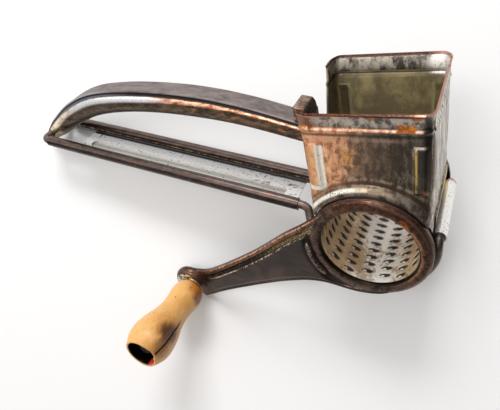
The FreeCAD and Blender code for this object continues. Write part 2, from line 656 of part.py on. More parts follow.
def knob_washer():
    """Washer between the spindle's head and the seat at the bottom of the knob's counterbore."""
    x, z = knob_xz()
    seat_y = KNOB_Y[0] + COUNTERBORE_DEEP
    bore = SPINDLE_R + 0.05
    front, back = seat_y - 1.15, seat_y - 0.25
    return tilted(turned([(bore, front), (WASHER_R, front), (WASHER_R, back), (bore, back)], x, z))


def wooden_knob():
    """Turned wooden knob: a small bulb, a waist, a large bulb, and a counterbore in its free end."""
    x, z = knob_xz()
    length = KNOB_Y[1] - KNOB_Y[0]
    outline = [(0.0, 5.6), (0.03, 7.3), (0.1, 8.4), (0.18, 8.5), (0.3, 7.8), (0.4, 7.9), (0.52, 8.9),
               (0.65, 10.7), (0.78, 11.6), (0.88, 11.2), (0.96, 9.6), (1.0, 8.5)]
    side = Part.BSplineCurve()
    side.interpolate([Vector(x + radius, KNOB_Y[1] - share * length, z) for share, radius in outline])
    seat_y = KNOB_Y[0] + COUNTERBORE_DEEP
    rest = [(outline[-1][1], KNOB_Y[0]), (COUNTERBORE_R, KNOB_Y[0]), (COUNTERBORE_R, seat_y),
            (KNOB_BORE_R, seat_y), (KNOB_BORE_R, KNOB_Y[1]), (outline[0][1], KNOB_Y[1])]
    points = [Vector(x + radius, y, z) for radius, y in rest]
    edges = [side.toShape()] + [Part.LineSegment(a, b).toShape() for a, b in zip(points, points[1:])]
    return tilted(Part.Face(Part.Wire(edges)).revolve(Vector(x, 0, z), AXIS_Y, 360))


PIECES = {
    "frame_wire": frame_wire,
    "lower_handle": lower_handle,
    "hopper_shell": hopper_shell,
    "upper_handle": upper_handle,
    "presser_stem": presser_stem,
    "presser_plate": presser_plate,
    "presser_rivets": stem_rivets,
    "drum_shell": drum_shell,
    "front_hub": front_hub,
    "rear_hub": rear_hub,
    "crank_arm": crank_arm,
    "knob_spindle": knob_spindle,
    "boss_washer": boss_washer,
    "knob_washer": knob_washer,
    "wooden_knob": wooden_knob,
}

os.makedirs("parts", exist_ok=True)
for name, make in PIECES.items():
    piece = lay_down(make())
    if len(piece.Solids) == 1:
        piece = piece.Solids[0]
    piece.exportStep("parts/" + name + ".step")
    print(name, piece.ShapeType, len(piece.Solids), piece.isValid(), round(piece.Volume, 1))
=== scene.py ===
import math

import bmesh
import bpy
from mathutils import Euler, Matrix, Vector, noise


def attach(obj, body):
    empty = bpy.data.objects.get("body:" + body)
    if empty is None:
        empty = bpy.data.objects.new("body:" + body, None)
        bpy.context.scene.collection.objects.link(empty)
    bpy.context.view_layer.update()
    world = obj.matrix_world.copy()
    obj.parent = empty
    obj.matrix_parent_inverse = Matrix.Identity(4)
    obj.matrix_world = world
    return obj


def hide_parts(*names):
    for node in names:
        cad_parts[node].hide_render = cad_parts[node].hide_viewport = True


bl_info = {
    "name": "Rotary Shredder",
    "version": (1, 0, 0),
    "blender": (4, 5, 0),
    "location": "View3D > Sidebar > Shredder",
    "description": "Builds the looks of a hand-held rotary shredder around its packed frame",
    "category": "Object",
}

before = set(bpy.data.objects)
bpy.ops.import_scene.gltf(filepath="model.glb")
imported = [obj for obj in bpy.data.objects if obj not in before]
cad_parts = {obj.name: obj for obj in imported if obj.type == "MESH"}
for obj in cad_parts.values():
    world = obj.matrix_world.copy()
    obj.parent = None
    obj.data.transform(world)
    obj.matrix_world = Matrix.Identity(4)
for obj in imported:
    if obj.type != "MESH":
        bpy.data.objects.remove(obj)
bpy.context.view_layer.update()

# The pieces are drawn upright in millimetres: X towards the hopper's hinge, Y away from the crank,
# Z up through the hopper's mouth, with the drum's axis along Y at x = 0, z = 0. LAY puts them on the table.
MM = 0.001
LEAN_BACK = math.radians(50.6)
TIP_DOWN = math.radians(15.1)
REST_SHIFT = Vector((76.52, -2.8, 55.74))
TURN = Matrix.Rotation(-TIP_DOWN, 4, "Y") @ Matrix.Rotation(-LEAN_BACK, 4, "X")
LAY = Matrix.Scale(MM, 4) @ Matrix.Translation(REST_SHIFT) @ TURN

HOPPER_HALF = 24.4          # half of the hopper's width
HOPPER_DEPTH = 48.2
MID_Y = HOPPER_DEPTH / 2    # the plane between front and back, in which the handles lie
CORNER_R = 3.6
COLLAR_R = 30.5             # where a collar bends out of its wall
COLLAR_LIP_R = 26.6         # the collar's edge, over the drum's rim
BEAD_Z = 54.5
FLARE_START = BEAD_Z - 1.5
RIM_Z = 61.7
HINGE = (26.5, 2.5)         # x and z of the rod in the hopper's sleeve
SLEEVE_R = 2.86
SLEEVE_Y = (5.7, 42.5)
SLEEVE_TOP = 13.0           # height on the right wall from which the sheet bends round the rod
DRUM_R = 21.0
DRUM_SHEET = 0.25
DRUM_Y = (-3.4, 51.6)
CRANK_ANGLE = math.radians(202.3)
CRANK_SHEET = 1.2
ARM_END = 109.0             # distance of the arm's end from the drum's axis
BOSS = (110.4, -0.8)        # along the arm, and across it towards its upper edge
KNOB_SEAT = (108.4, -3.0)   # the same for the place where the knob's axis meets the boss
BOSS_FACE_Y = -8.6
KNOB_LEAN = math.radians(-4.4)
KNOB_SWING = math.radians(-1.7)
KNOB_Y = (-57.4, -9.9)      # the knob's mouth and its foot
PIN_R = 2.6                 # round the knob's pin
COUNTERBORE_DEEP = 6.5


# Geometry helpers ------------------------------------------------------------------------------

def clamp(value):
    return max(0.0, min(1.0, value))


def mix(low, high, share):
    return low + (high - low) * share


def smooth(low, high, value):
    """0 below low, 1 above high, with soft ends; low may be the larger one."""
    share = clamp((value - low) / (high - low))
    return share * share * (3 - 2 * share)


def bump(centre, half_width, value):
    """Soft hill of height 1."""
    return math.exp(-((value - centre) / half_width) ** 2)


def through(points, share):
    """Smooth curve through points, each a tuple of numbers; share runs from 0 to 1."""
    place = clamp(share) * (len(points) - 1)
    index = min(int(place), len(points) - 2)
    part = place - index
    p1, p2 = points[index], points[index + 1]
    p0 = points[index - 1] if index else [2 * a - b for a, b in zip(p1, p2)]
    p3 = points[index + 2] if index + 2 < len(points) else [2 * b - a for a, b in zip(p1, p2)]
    return [0.5 * (2 * b + (c - a) * part + (2 * a - 5 * b + 4 * c - d) * part ** 2
                   + (3 * b - a - 3 * c + d) * part ** 3) for a, b, c, d in zip(p0, p1, p2, p3)]


def table(points, value):
    """Smooth reading of a table of (value, result) pairs with rising values."""
    for index in range(len(points) - 1):
        if value <= points[index + 1][0] or index == len(points) - 2:
            low, high = points[index], points[index + 1]
            before = points[max(index - 1, 0)]
            after = points[min(index + 2, len(points) - 1)]
            width = high[0] - low[0]
            part = (value - low[0]) / width
            slope_low = (high[1] - before[1]) / (high[0] - before[0]) * width
            slope_high = (after[1] - low[1]) / (after[0] - low[0]) * width
            square, cube = part ** 2, part ** 3
            return ((2 * cube - 3 * square + 1) * low[1] + (cube - 2 * square + part) * slope_low
                    + (3 * square - 2 * cube) * high[1] + (cube - square) * slope_high)


def grid_surface(bm, columns, rows, place):
    """Adds a grid; place(column share, row share) says where each of its vertices stands."""
    across, along = layer(bm, "across"), layer(bm, "along")
    for vert in bmesh.ops.create_grid(bm, x_segments=columns, y_segments=rows, size=0.5)["verts"]:
        vert[across], vert[along] = vert.co.x + 0.5, vert.co.y + 0.5
        vert.co = place(vert[across], vert[along])


def lathe(bm, profile, centre, steps):
    """Spins a profile of (radius, y) once round a line along Y through centre = (x, z)."""
    verts = [bm.verts.new((centre[0] + radius, y, centre[1])) for radius, y in profile]
    edges = [bm.edges.new(pair) for pair in zip(verts, verts[1:])]
    bmesh.ops.spin(bm, geom=verts + edges, cent=(centre[0], 0, centre[1]), axis=(0, -1, 0),
                   angle=2 * math.pi, steps=steps, use_merge=True)


def thicken(bm, thickness, flip=False):
    """Gives a sheet its thickness behind the faces' backs, and marks the new side."""
    if flip:
        bmesh.ops.reverse_faces(bm, faces=bm.faces[:])
    bm.normal_update()
    side = layer(bm, "side")
    outside = set(bm.verts)
    bmesh.ops.solidify(bm, geom=bm.faces[:], thickness=thickness)
    for vert in bm.verts:
        vert[side] = 0.0 if vert in outside else 1.0


def layer(bm, name):
    """Float layer on the vertices, which a material can read."""
    return bm.verts.layers.float.get(name) or bm.verts.layers.float.new(name)


def add(bm, part):
    """Moves the geometry of one mesh under construction into another."""
    scratch = bpy.data.meshes.new("scratch")
    part.to_mesh(scratch)
    part.free()
    bm.from_mesh(scratch)
    bpy.data.meshes.remove(scratch)


def crank_point(along, across, y):
    """Point given along the crank's arm and across it, towards its upper edge."""
    cosine, sine = math.cos(CRANK_ANGLE), math.sin(CRANK_ANGLE)
    return Vector((along * cosine + across * sine, y, along * sine - across * cosine))


def knob_tilt():
    """Matrix that leans a piece with the knob's axis, about the point where it meets the boss."""
    pivot = crank_point(*KNOB_SEAT, BOSS_FACE_Y)
    turn = Matrix.Rotation(KNOB_SWING, 4, "Z") @ Matrix.Rotation(KNOB_LEAN, 4, "X")
    return Matrix.Translation(pivot) @ turn @ Matrix.Translation(-pivot)


def show(bm, name, body, replaces, material, sharp=40.0):
    """Lays a finished piece down on the table and hands it to the frame.

    Edges that bend by more than sharp degrees stay crisp.
    """
    bmesh.ops.transform(bm, matrix=LAY, verts=bm.verts)
    for vert in bm.verts:
        vert.co.z = max(vert.co.z, 0.0)    # nothing sinks into the table
    bmesh.ops.recalc_face_normals(bm, faces=bm.faces)
    for face in bm.faces:
        face.smooth = True
    limit = math.radians(sharp)
    for edge in bm.edges:
        edge.smooth = len(edge.link_faces) != 2 or edge.calc_face_angle() < limit
    mesh = bpy.data.meshes.new(name)
    bm.to_mesh(mesh)
    bm.free()
    piece = bpy.data.objects.new(name, mesh)
    bpy.context.scene.collection.objects.link(piece)
    mesh.materials.append(material)
    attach(piece, body)
    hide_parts(replaces)


# Shader helpers --------------------------------------------------------------------------------

class Value:
    """A shader socket; arithmetic on it adds maths nodes."""

    def __init__(self, graph, socket):
        self.graph = graph
        self.socket = socket

    def maths(self, operation, *others):
        inputs = dict(enumerate((self,) + others))
        return self.graph.node("ShaderNodeMath", inputs, operation=operation)

    def __add__(self, other):
        return self.maths("ADD", other)

    def __sub__(self, other):
        return self.maths("SUBTRACT", other)

    def __mul__(self, other):
        return self.maths("MULTIPLY", other)

    def __truediv__(self, other):
        return self.maths("DIVIDE", other)

    def __pow__(self, other):
        return self.maths("POWER", other)

    def __rsub__(self, other):
        return self * -1.0 + other

    __radd__ = __add__

    def size(self):
        return self.maths("ABSOLUTE")

    def least(self, other):
        return self.maths("MINIMUM", other)

    def most(self, other):
        return self.maths("MAXIMUM", other)

    def step(self, low, high):
        """0 at low and 1 at high, with soft ends."""
        inputs = {"Value": self, "From Min": low, "From Max": high}
        return self.graph.node("ShaderNodeMapRange", inputs, interpolation_type="SMOOTHSTEP")

    def inside(self, low, high, soft=0.4):
        """1 between low and high, with ends as soft as told."""
        return self.step(low - soft, low + soft) * self.step(high + soft, high - soft)

    def stirred(self, noise_value, amount):
        """Shifts the value up and down by a noise that lies about a half."""
        return self + (noise_value - 0.5) * amount


class Graph:
    """Builds one material; positions are in the upright drawing's millimetres."""

    def __init__(self, name):
        self.material = bpy.data.materials.new(name)
        self.material.use_nodes = True
        self.tree = self.material.node_tree
        self.tree.nodes.clear()
        place = self.node("ShaderNodeTexCoord", output="Object")
        axes = Matrix.Identity(3)
        self.x, self.y, self.z = (self.along(place, axis) for axis in axes)
        self.place = self.join(self.x, self.y, self.z)
        self.colour = None

    def node(self, kind, inputs=None, output=0, **settings):
        """Adds a node and returns one of its outputs."""
        made = self.tree.nodes.new(kind)
        for name, value in settings.items():
            setattr(made, name, value)
        for key, value in (inputs or {}).items():
            if isinstance(value, Value):
                self.tree.links.new(value.socket, made.inputs[key])
            else:
                made.inputs[key].default_value = value
        return Value(self, made.outputs[output] if made.outputs else None)

    def along(self, place, axis):
        """Upright coordinate along one axis, from the laid-down object coordinates in metres."""
        laid = TURN.to_3x3() @ axis
        inputs = {0: place, 1: laid / MM}
        dot = self.node("ShaderNodeVectorMath", inputs, output="Value", operation="DOT_PRODUCT")
        return dot - REST_SHIFT.dot(laid)

    def join(self, x, y, z):
        return self.node("ShaderNodeCombineXYZ", {0: x, 1: y, 2: z})

    def noise(self, scale, detail=4.0, roughness=0.55, distortion=0.0, place=None):
        inputs = {"Vector": place or self.place, "Scale": scale, "Detail": detail, "Roughness": roughness,
                  "Distortion": distortion}
        return self.node("ShaderNodeTexNoise", inputs)

    def specks(self, scale, size, place=None):
        """Small soft dots: 1 inside a dot."""
        inputs = {"Vector": place or self.place, "Scale": scale}
        return self.node("ShaderNodeTexVoronoi", inputs).step(size, size * 0.5)

    def stretched(self, x, y, z):
        return self.join(self.x * x, self.y * y, self.z * z)

    def near(self, point, radius, soft=0.5):
        """1 round a point, fading out at the radius."""
        inputs = {0: self.place, 1: point}
        away = self.node("ShaderNodeVectorMath", inputs, output="Value", operation="DISTANCE")
        return away.step(radius, radius * soft)

    def blend(self, share, first, second):
        """Colour between two others: the first where share is 0, the second where it is 1."""
        inputs = {"Factor": share, 6: first, 7: second}
        return self.node("ShaderNodeMix", inputs, output=2, data_type="RGBA")

    def attribute(self, name):
        return self.node("ShaderNodeAttribute", output="Fac", attribute_name=name)

    def paint(self, share, colour):
        """Lays a colour over what is there."""
        self.colour = self.blend(share, self.colour, colour)

    def paint_two(self, share, between, first, second):
        """Lays two colours over what is there, blended by the share between them."""
        self.paint(share, self.blend(between, first, second))

    def radius(self):
        """Distance from the drum's axis."""
        return (self.x * self.x + self.z * self.z) ** 0.5

    def ragged(self, point, radius, roughness=0.9):
        """Spot with a ragged edge: 1 inside it."""
        return self.near(point, radius, 0.2).stirred(self.noise(0.9, 5, 0.75), roughness).step(0.35, 0.6)

    def finish(self, metallic, roughness, height=None, depth=0.05, coat=0.0):
        """Closes the material with one surface; depth is the height's size in millimetres."""
        inputs = {"Base Color": self.colour, "Metallic": metallic, "Roughness": roughness,
                  "Coat Weight": coat, "Coat Roughness": 0.25}
        if height is not None:
            inputs["Normal"] = self.node("ShaderNodeBump", {"Height": height, "Distance": depth * MM})
        surface = self.node("ShaderNodeBsdfPrincipled", inputs)
        self.node("ShaderNodeOutputMaterial", {"Surface": surface})
        return self.material


def rgb(red, green, blue):
    return (red, green, blue, 1.0)


def wear(g, stretch):
    """Noises that all old metal shares: a broad, a streaked and a fine one, and small pits.

    The streaks run along the axis for which stretch holds the smallest number.
    """
    broad = g.noise(0.045, 5, 0.6, 0.6)
    streak = g.noise(0.30, 6, 0.65, 0.3, g.stretched(*stretch))
    fine = g.noise(1.3, 6, 0.72)
    pits = g.specks(0.55, 0.17) * g.noise(0.16, 3).step(0.46, 0.60)
    return broad, streak, fine, pits


def plain_metal(name, light, dark, dullness, stretch=(1.0, 1.0, 1.0)):
    """Darkened metal between two shades, with pits and a little rust."""
    g = Graph(name)
    broad, streak, fine, pits = wear(g, stretch)
    g.colour = g.blend((broad * 0.5 + streak * 0.5 + fine * 0.12).step(0.42, 0.68), dark, light)
    rust = g.noise(0.7, 5, 0.75).step(0.64, 0.74) * g.noise(0.09, 3).step(0.5, 0.66)
    g.paint(rust * 0.8, rgb(0.36, 0.13, 0.04))
    g.paint(pits * 0.85, rgb(0.02, 0.016, 0.013))
    roughness = fine * 0.22 + streak * 0.14 + (dullness - 0.14) + rust * 0.3
    height = fine * 0.5 + streak * 0.35 - pits * 1.2 + broad
    return g.finish(0.92 - rust * 0.6, roughness, height)


# Pieces ----------------------------------------------------------------------------------------

def hopper_outline():
    """Points round the hopper's sheet: x, y, outward normal x and y, and the share along a flange."""
    half, far, radius = HOPPER_HALF, HOPPER_DEPTH, CORNER_R
    flange_steps, corner_steps, wide_steps, deep_steps = 8, 8, 84, 36
    points = []

    def corner(centre_x, centre_y, start):
        for step in range(corner_steps + 1):
            angle = math.radians(start + step * 90 / corner_steps)
            nx, ny = math.cos(angle), math.sin(angle)
            points.append((centre_x + radius * nx, centre_y + radius * ny, nx, ny, 0.0))

    def wall(ax, ay, bx, by, steps, nx, ny):
        for step in range(1, steps):
            share = step / steps
            points.append((mix(ax, bx, share), mix(ay, by, share), nx, ny, 0.0))

    for step in range(flange_steps):
        points.append((-half, radius, -1.0, 0.0, 1.0 - step / flange_steps))
    corner(-half + radius, radius, 180)
    wall(-half + radius, 0, half - radius, 0, wide_steps, 0.0, -1.0)
    corner(half - radius, radius, 270)
    wall(half, radius, half, far - radius, deep_steps, 1.0, 0.0)
    corner(half - radius, far - radius, 0)
    wall(half - radius, far, -half + radius, far, wide_steps, 0.0, 1.0)
    corner(-half + radius, far - radius, 90)
    for step in range(flange_steps):
        points.append((-half, far - radius, -1.0, 0.0, (step + 1) / flange_steps))
    return points


def slot_edge(z, at_rim):
    """Length of a flange at a height: the slot for the presser widens upwards."""
    full_length, widens_from = 16.2, 40.0
    return mix(full_length, at_rim, clamp((z - widens_from) / (RIM_Z - widens_from)))


def band_relief(x, z):
    """Height of the pressed bands near the front and back walls' edges."""
    height = 0.75
    left_band = smooth(-24.0, -23.0, x) * smooth(-17.2, -18.2, x)
    right_band = smooth(17.4, 18.4, x) * smooth(23.0, 22.0, x)
    return height * (left_band + right_band) * smooth(27.6, 29.2, z) * smooth(48.6, 47.4, z)


def hopper_rows():
    """Rows from the collar's lip to the rim, each a kind and a share."""
    collar_steps, wall_steps, flare_steps = 10, 44, 22
    rows = [("collar", step / collar_steps) for step in range(collar_steps)]
    rows += [("wall", step / wall_steps) for step in range(wall_steps + 1)]
    rows += [("flare", step / flare_steps) for step in range(1, flare_steps + 1)]
    return rows


def hopper_vertex(outline, rows, column, row):
    """Where the hopper's outer face is at one grid place."""
    x, y, nx, ny, flange = outline[round(column * (len(outline) - 1))]
    kind, share = rows[round(row * (len(rows) - 1))]
    collar_out, warp, bead_out, rim_out_y, rim_out_x = 2.8, 0.25, 0.75, 2.35, 0.35
    lean_x = lean_y = 0.0
    if kind == "collar":
        radius = mix(COLLAR_LIP_R, COLLAR_R, share)
        z = math.sqrt(radius ** 2 - x ** 2)
        lean_y = collar_out * math.cos(share * math.pi / 2) ** 0.8
    elif kind == "wall":
        arch = math.sqrt(COLLAR_R ** 2 - x ** 2)
        z = mix(arch, FLARE_START, share)
        lean_y = band_relief(x, z) if abs(ny) > 0.9 else 0.0
        lean_y += warp * noise.noise(Vector((x, y, z)) * 0.06)
        lean_x = warp * noise.noise(Vector((z, x, y)) * 0.06)
    else:
        z = mix(FLARE_START, RIM_Z, share)
        rise = clamp((z - BEAD_Z + 0.4) / (RIM_Z - BEAD_Z + 0.4))
        bead = bead_out * bump(BEAD_Z, 0.8, z)
        roll = 0.25 * smooth(0.86, 1.0, rise)
        lean_y = rim_out_y * rise ** 1.7 + bead + roll
        lean_x = rim_out_x * rise ** 1.7 + bead * 0.6 + roll
    at_front_left = y < CORNER_R + 0.1 and nx < -0.01
    if at_front_left:
        lean_y *= mix(1.0, 0.6, smooth(50.0, 61.0, z))
        y *= mix(1.0, 0.3, smooth(44.0, 60.0, z))
    if flange:
        reach = mix(min(y, CORNER_R), slot_edge(z, 1.4 if y < MID_Y else 8.2), flange)
        y = reach if y < MID_Y else HOPPER_DEPTH - reach
    return Vector((x + nx * lean_x, y + ny * lean_y, z))


def sleeve_vertex(column, row):
    """Lower part of the right wall, rolled round the hinge rod."""
    y = mix(*SLEEVE_Y, row)
    straight = 0.3
    if column < straight:
        share = column / straight
        x = mix(HOPPER_HALF - 0.05, HINGE[0] - SLEEVE_R, share ** 2)
        return Vector((x, y, mix(SLEEVE_TOP, HINGE[1] + 0.6, share)))
    roll_start, roll_turn = 168.0, 338.0
    angle = math.radians(roll_start + roll_turn * ((column - straight) / (1 - straight)))
    return Vector((HINGE[0] + SLEEVE_R * math.cos(angle), y, HINGE[1] + SLEEVE_R * math.sin(angle)))


def build_hopper(settings):
    outline, rows = hopper_outline(), hopper_rows()
    bm = bmesh.new()
    grid_surface(bm, len(outline) - 1, len(rows) - 1,
                 lambda column, row: hopper_vertex(outline, rows, column, row))
    thicken(bm, settings.sheet / MM)
    sleeve = bmesh.new()
    grid_surface(sleeve, 60, 24, sleeve_vertex)
    thicken(sleeve, settings.sheet / MM, True)
    add(bm, sleeve)
    show(bm, "hopper", "hopper", "hopper_shell", hopper_tin(settings))


class HopperGraph(Graph):
    """Material of the hopper, with its noises and the faces that its parts of the paint lie on."""

    def __init__(self, name):
        super().__init__(name)
        self.broad, self.streak, self.fine, self.pits = wear(self, (1.0, 1.0, 0.35))
        self.mottle = self.noise(0.34, 7, 0.70, 0.15, self.stretched(1.0, 1.0, 0.6))
        self.warp_x = self.x.stirred(self.noise(0.55, 5, 0.7), 5.0)
        self.warp_z = self.z.stirred(self.mottle, 5.0)
        self.inner = self.attribute("side")
        self.outer = 1.0 - self.inner
        self.front = self.y.step(MID_Y, 6.0) * self.outer

    def patch(self, x_low, x_high, z_low, z_high, soft=0.4):
        """Box seen from the front, with ragged edges."""
        return self.warp_x.inside(x_low, x_high, soft) * self.warp_z.inside(z_low, z_high, soft)

    def strip(self, x_low, x_high, z_low, z_high, soft=0.3):
        """Box seen from the front, with straight edges."""
        return self.x.inside(x_low, x_high, soft) * self.z.inside(z_low, z_high, soft)


def hopper_tin(settings):
    """Tin of the hopper: copper to the left, dark to the right, olive inside, bright on the sleeve, with
    painted highlights and shade.
    """
    g = HopperGraph("hopper_tin")
    paint_hopper_front(g, settings)
    bands = paint_hopper_bands(g)
    shine = paint_hopper_collar(g)
    paint_hopper_right_wall(g)
    back = paint_hopper_inside(g, settings)
    rust = paint_hopper_rim(g)
    g.paint(g.pits * (1.0 - rust) * 0.85, rgb(0.025, 0.02, 0.016))
    # Rust is less metallic, and so are the bands, the collar's painted highlight and the back wall, so that
    # their painted light stays bright.
    metallic = 0.9 - rust * 0.75 - bands * 0.75 - shine * 0.35 - back * 0.25
    roughness = g.fine * 0.2 + g.mottle * 0.25 + 0.12 + rust * 0.35
    height = g.fine * 0.5 + g.streak * 0.3 - g.pits * 1.2 + rust * 0.6 + g.mottle * 1.2
    return g.finish(metallic, roughness, height, 0.06)


def paint_hopper_front(g, settings):
    """Front wall, darker to the right and worn to copper on the left, with painted highlights on the copper.
    """
    g.colour = g.blend((g.mottle * 0.6 + g.streak * 0.4).step(0.36, 0.64), settings.dark,
                       rgb(0.40, 0.30, 0.21))
    soft = (g.mottle - 0.5) * 0.7 + (g.streak - 0.5) * 0.5
    shade = (g.x * -0.030 + 0.42 + soft).step(0.0, 1.0)
    g.paint_two(g.front, shade, rgb(0.105, 0.085, 0.062), rgb(0.55, 0.34, 0.21))
    g.paint(g.front * g.mottle.stirred(g.fine, 0.3).step(0.56, 0.44) * 0.6, rgb(0.075, 0.052, 0.036))
    g.paint(g.front * g.x.step(0.0, 12.0) * g.streak.stirred(g.fine, 0.4).step(0.50, 0.62) * 0.6,
            rgb(0.34, 0.29, 0.22))
    worn = (g.x * -0.055 + 0.10 + (g.z - 40.0) * 0.012 + soft * 1.6).step(0.25, 0.80) * g.front
    g.paint_two(worn * 0.95, g.mottle.step(0.38, 0.56), rgb(0.42, 0.16, 0.075), settings.copper)
    # Painted highlight: bright mottles on the worn copper.
    g.paint(worn * (g.mottle * 0.4 + g.streak * 0.6).step(0.48, 0.60) * 0.75, rgb(1.0, 0.60, 0.37))
    g.paint(g.patch(-8.0, -3.0, 38.5, 45.5, 2.5) * g.front * g.mottle.step(0.44, 0.60) * 0.8,
            rgb(0.85, 0.36, 0.04))


def paint_hopper_bands(g):
    """Pressed bands at the front's sides, and the stripes, bead and flare above, with painted highlights and
    shade; gives the left band.
    """
    panel = g.strip(-22.8, -18.9, 28.2, 47.4) * g.front
    g.paint_two(panel * 0.9, g.x.step(-23.0, -19.0), rgb(0.52, 0.19, 0.05), rgb(1.0, 0.60, 0.30))
    g.paint(panel * g.mottle.stirred(g.fine, 0.8).step(0.50, 0.64) * 0.7, rgb(0.55, 0.20, 0.06))
    # Painted highlight: cream along the left band's right and lower border.
    border = g.strip(-18.9, -15.9, 26.6, 47.6).most(g.strip(-23.2, -16.6, 25.8, 28.4)) * g.front
    g.paint(border * g.fine.stirred(g.mottle, 0.6).step(0.28, 0.46), rgb(0.98, 0.93, 0.80))
    # Painted highlight: gold along the right band's left edge and grey along its top.
    edge = g.strip(18.1, 18.9, 28.4, 48.0, 0.2) * g.front
    g.paint(edge * g.mottle.step(0.34, 0.46), rgb(0.90, 0.58, 0.16))
    g.paint(g.strip(17.6, 22.6, 47.8, 48.6, 0.25) * g.front * 0.8, rgb(0.62, 0.58, 0.50))
    g.paint(g.strip(19.2, 22.6, 29.0, 47.4) * g.front * 0.65, rgb(0.08, 0.072, 0.058))
    # Painted shade: a dark line under the bead.
    g.paint(g.z.inside(51.7, 52.9, 0.5) * g.front * 0.75, rgb(0.05, 0.035, 0.028))
    stripe = g.z.inside(49.8, 51.2, 0.6) * g.front * g.x.inside(-20.0, 14.0, 3.0)
    g.paint(stripe * g.streak.step(0.36, 0.56) * 0.6, rgb(0.52, 0.34, 0.26))
    # Painted highlight: pink along the bead.
    bead = g.z.inside(53.9, 55.3, 0.35) * g.x.inside(-22.5, 20.5, 1.0) * g.front
    g.paint_two(bead, g.mottle.step(0.40, 0.58), rgb(0.56, 0.22, 0.12), rgb(1.0, 0.72, 0.54))
    flare = g.z.inside(55.8, 60.6, 0.5) * g.front
    g.paint_two(flare, g.mottle.step(0.40, 0.58), rgb(0.10, 0.08, 0.068), rgb(0.50, 0.44, 0.37))
    g.paint(flare * g.x.step(-14.0, -21.0) * 0.8, rgb(0.20, 0.085, 0.05))
    # Painted shade: near black on the rounded front-right corner.
    corner = g.x.inside(21.4, 23.6, 0.7) * g.front * g.z.step(20.0, 40.0)
    g.paint(corner * 0.85, rgb(0.030, 0.026, 0.022))
    return (panel + border).least(1.0)


def paint_hopper_collar(g):
    """Collar over the drum's rim, with a painted highlight along its arch, which it gives, and painted shade
    where it bends out.
    """
    radius = g.radius()
    collar = g.z.step(4.0, 8.0) * g.y.step(3.0, 0.6) * g.outer
    arch = radius.inside(26.3, 30.3, 0.4) * collar
    g.paint_two(arch, g.mottle.step(0.40, 0.60), rgb(0.07, 0.055, 0.045), rgb(0.24, 0.20, 0.15))
    # Painted highlight along the collar's arch: cream on the left, tan and broken by dark patches further
    # right.
    shine = radius.inside(28.3, 29.6, 0.45) * collar * g.x.step(12.0, 4.0)
    g.paint_two(shine * g.fine.stirred(g.mottle, 0.8).step(0.28, 0.48), g.x.step(2.0, -9.0),
                rgb(0.60, 0.42, 0.26), rgb(0.99, 0.93, 0.80))
    g.paint(shine * g.x.step(-9.0, 0.0) * g.broad.stirred(g.mottle, 0.8).step(0.38, 0.52) * 0.9,
            rgb(0.13, 0.095, 0.07))
    g.paint(radius.step(27.2, 26.7) * collar * 0.9, rgb(0.14, 0.05, 0.03))
    # Painted shade: dark where the collar bends out of the wall.
    g.paint(radius.inside(30.5, 32.2, 0.6) * g.front * g.z.step(12.0, 16.0) * 0.7, rgb(0.12, 0.07, 0.045))
    above = radius.inside(32.4, 33.8, 0.5) * g.front * g.z.step(18.0, 24.0)
    g.paint(above * g.mottle.step(0.4, 0.6) * 0.7, rgb(0.62, 0.48, 0.34))
    return shine


def paint_hopper_right_wall(g):
    """Streaked right wall and the bright barrel of the sleeve."""
    wall = g.x.step(23.2, 24.0) * g.outer * g.z.step(5.0, 8.0)
    lines = g.noise(1.1, 6, 0.75, 0.2, g.stretched(0.5, 1.0, 0.05)).stirred(g.mottle, 0.35)
    dark_line = g.blend(g.fine, rgb(0.04, 0.03, 0.02), rgb(0.20, 0.14, 0.085))
    g.paint_two(wall, lines.step(0.47, 0.58), dark_line, rgb(0.98, 0.93, 0.83))
    g.paint(wall * g.y.step(9.0, 3.0) * lines.step(0.60, 0.48) * 0.85, rgb(0.10, 0.06, 0.035))
    barrel = g.near((HINGE[0], MID_Y, HINGE[1]), 30.0, 0.9) * g.x.step(23.8, 24.2) * g.z.step(8.5, 6.5)
    g.paint_two(barrel, g.fine.stirred(g.mottle, 0.5).step(0.32, 0.46), rgb(0.45, 0.27, 0.09),
                rgb(0.98, 0.97, 0.95))
    g.paint(barrel * g.x.step(26.0, 24.4) * 0.75, rgb(0.80, 0.52, 0.18))
    g.paint(barrel * g.y.step(40.0, 42.4) * 0.8, rgb(0.50, 0.22, 0.08))


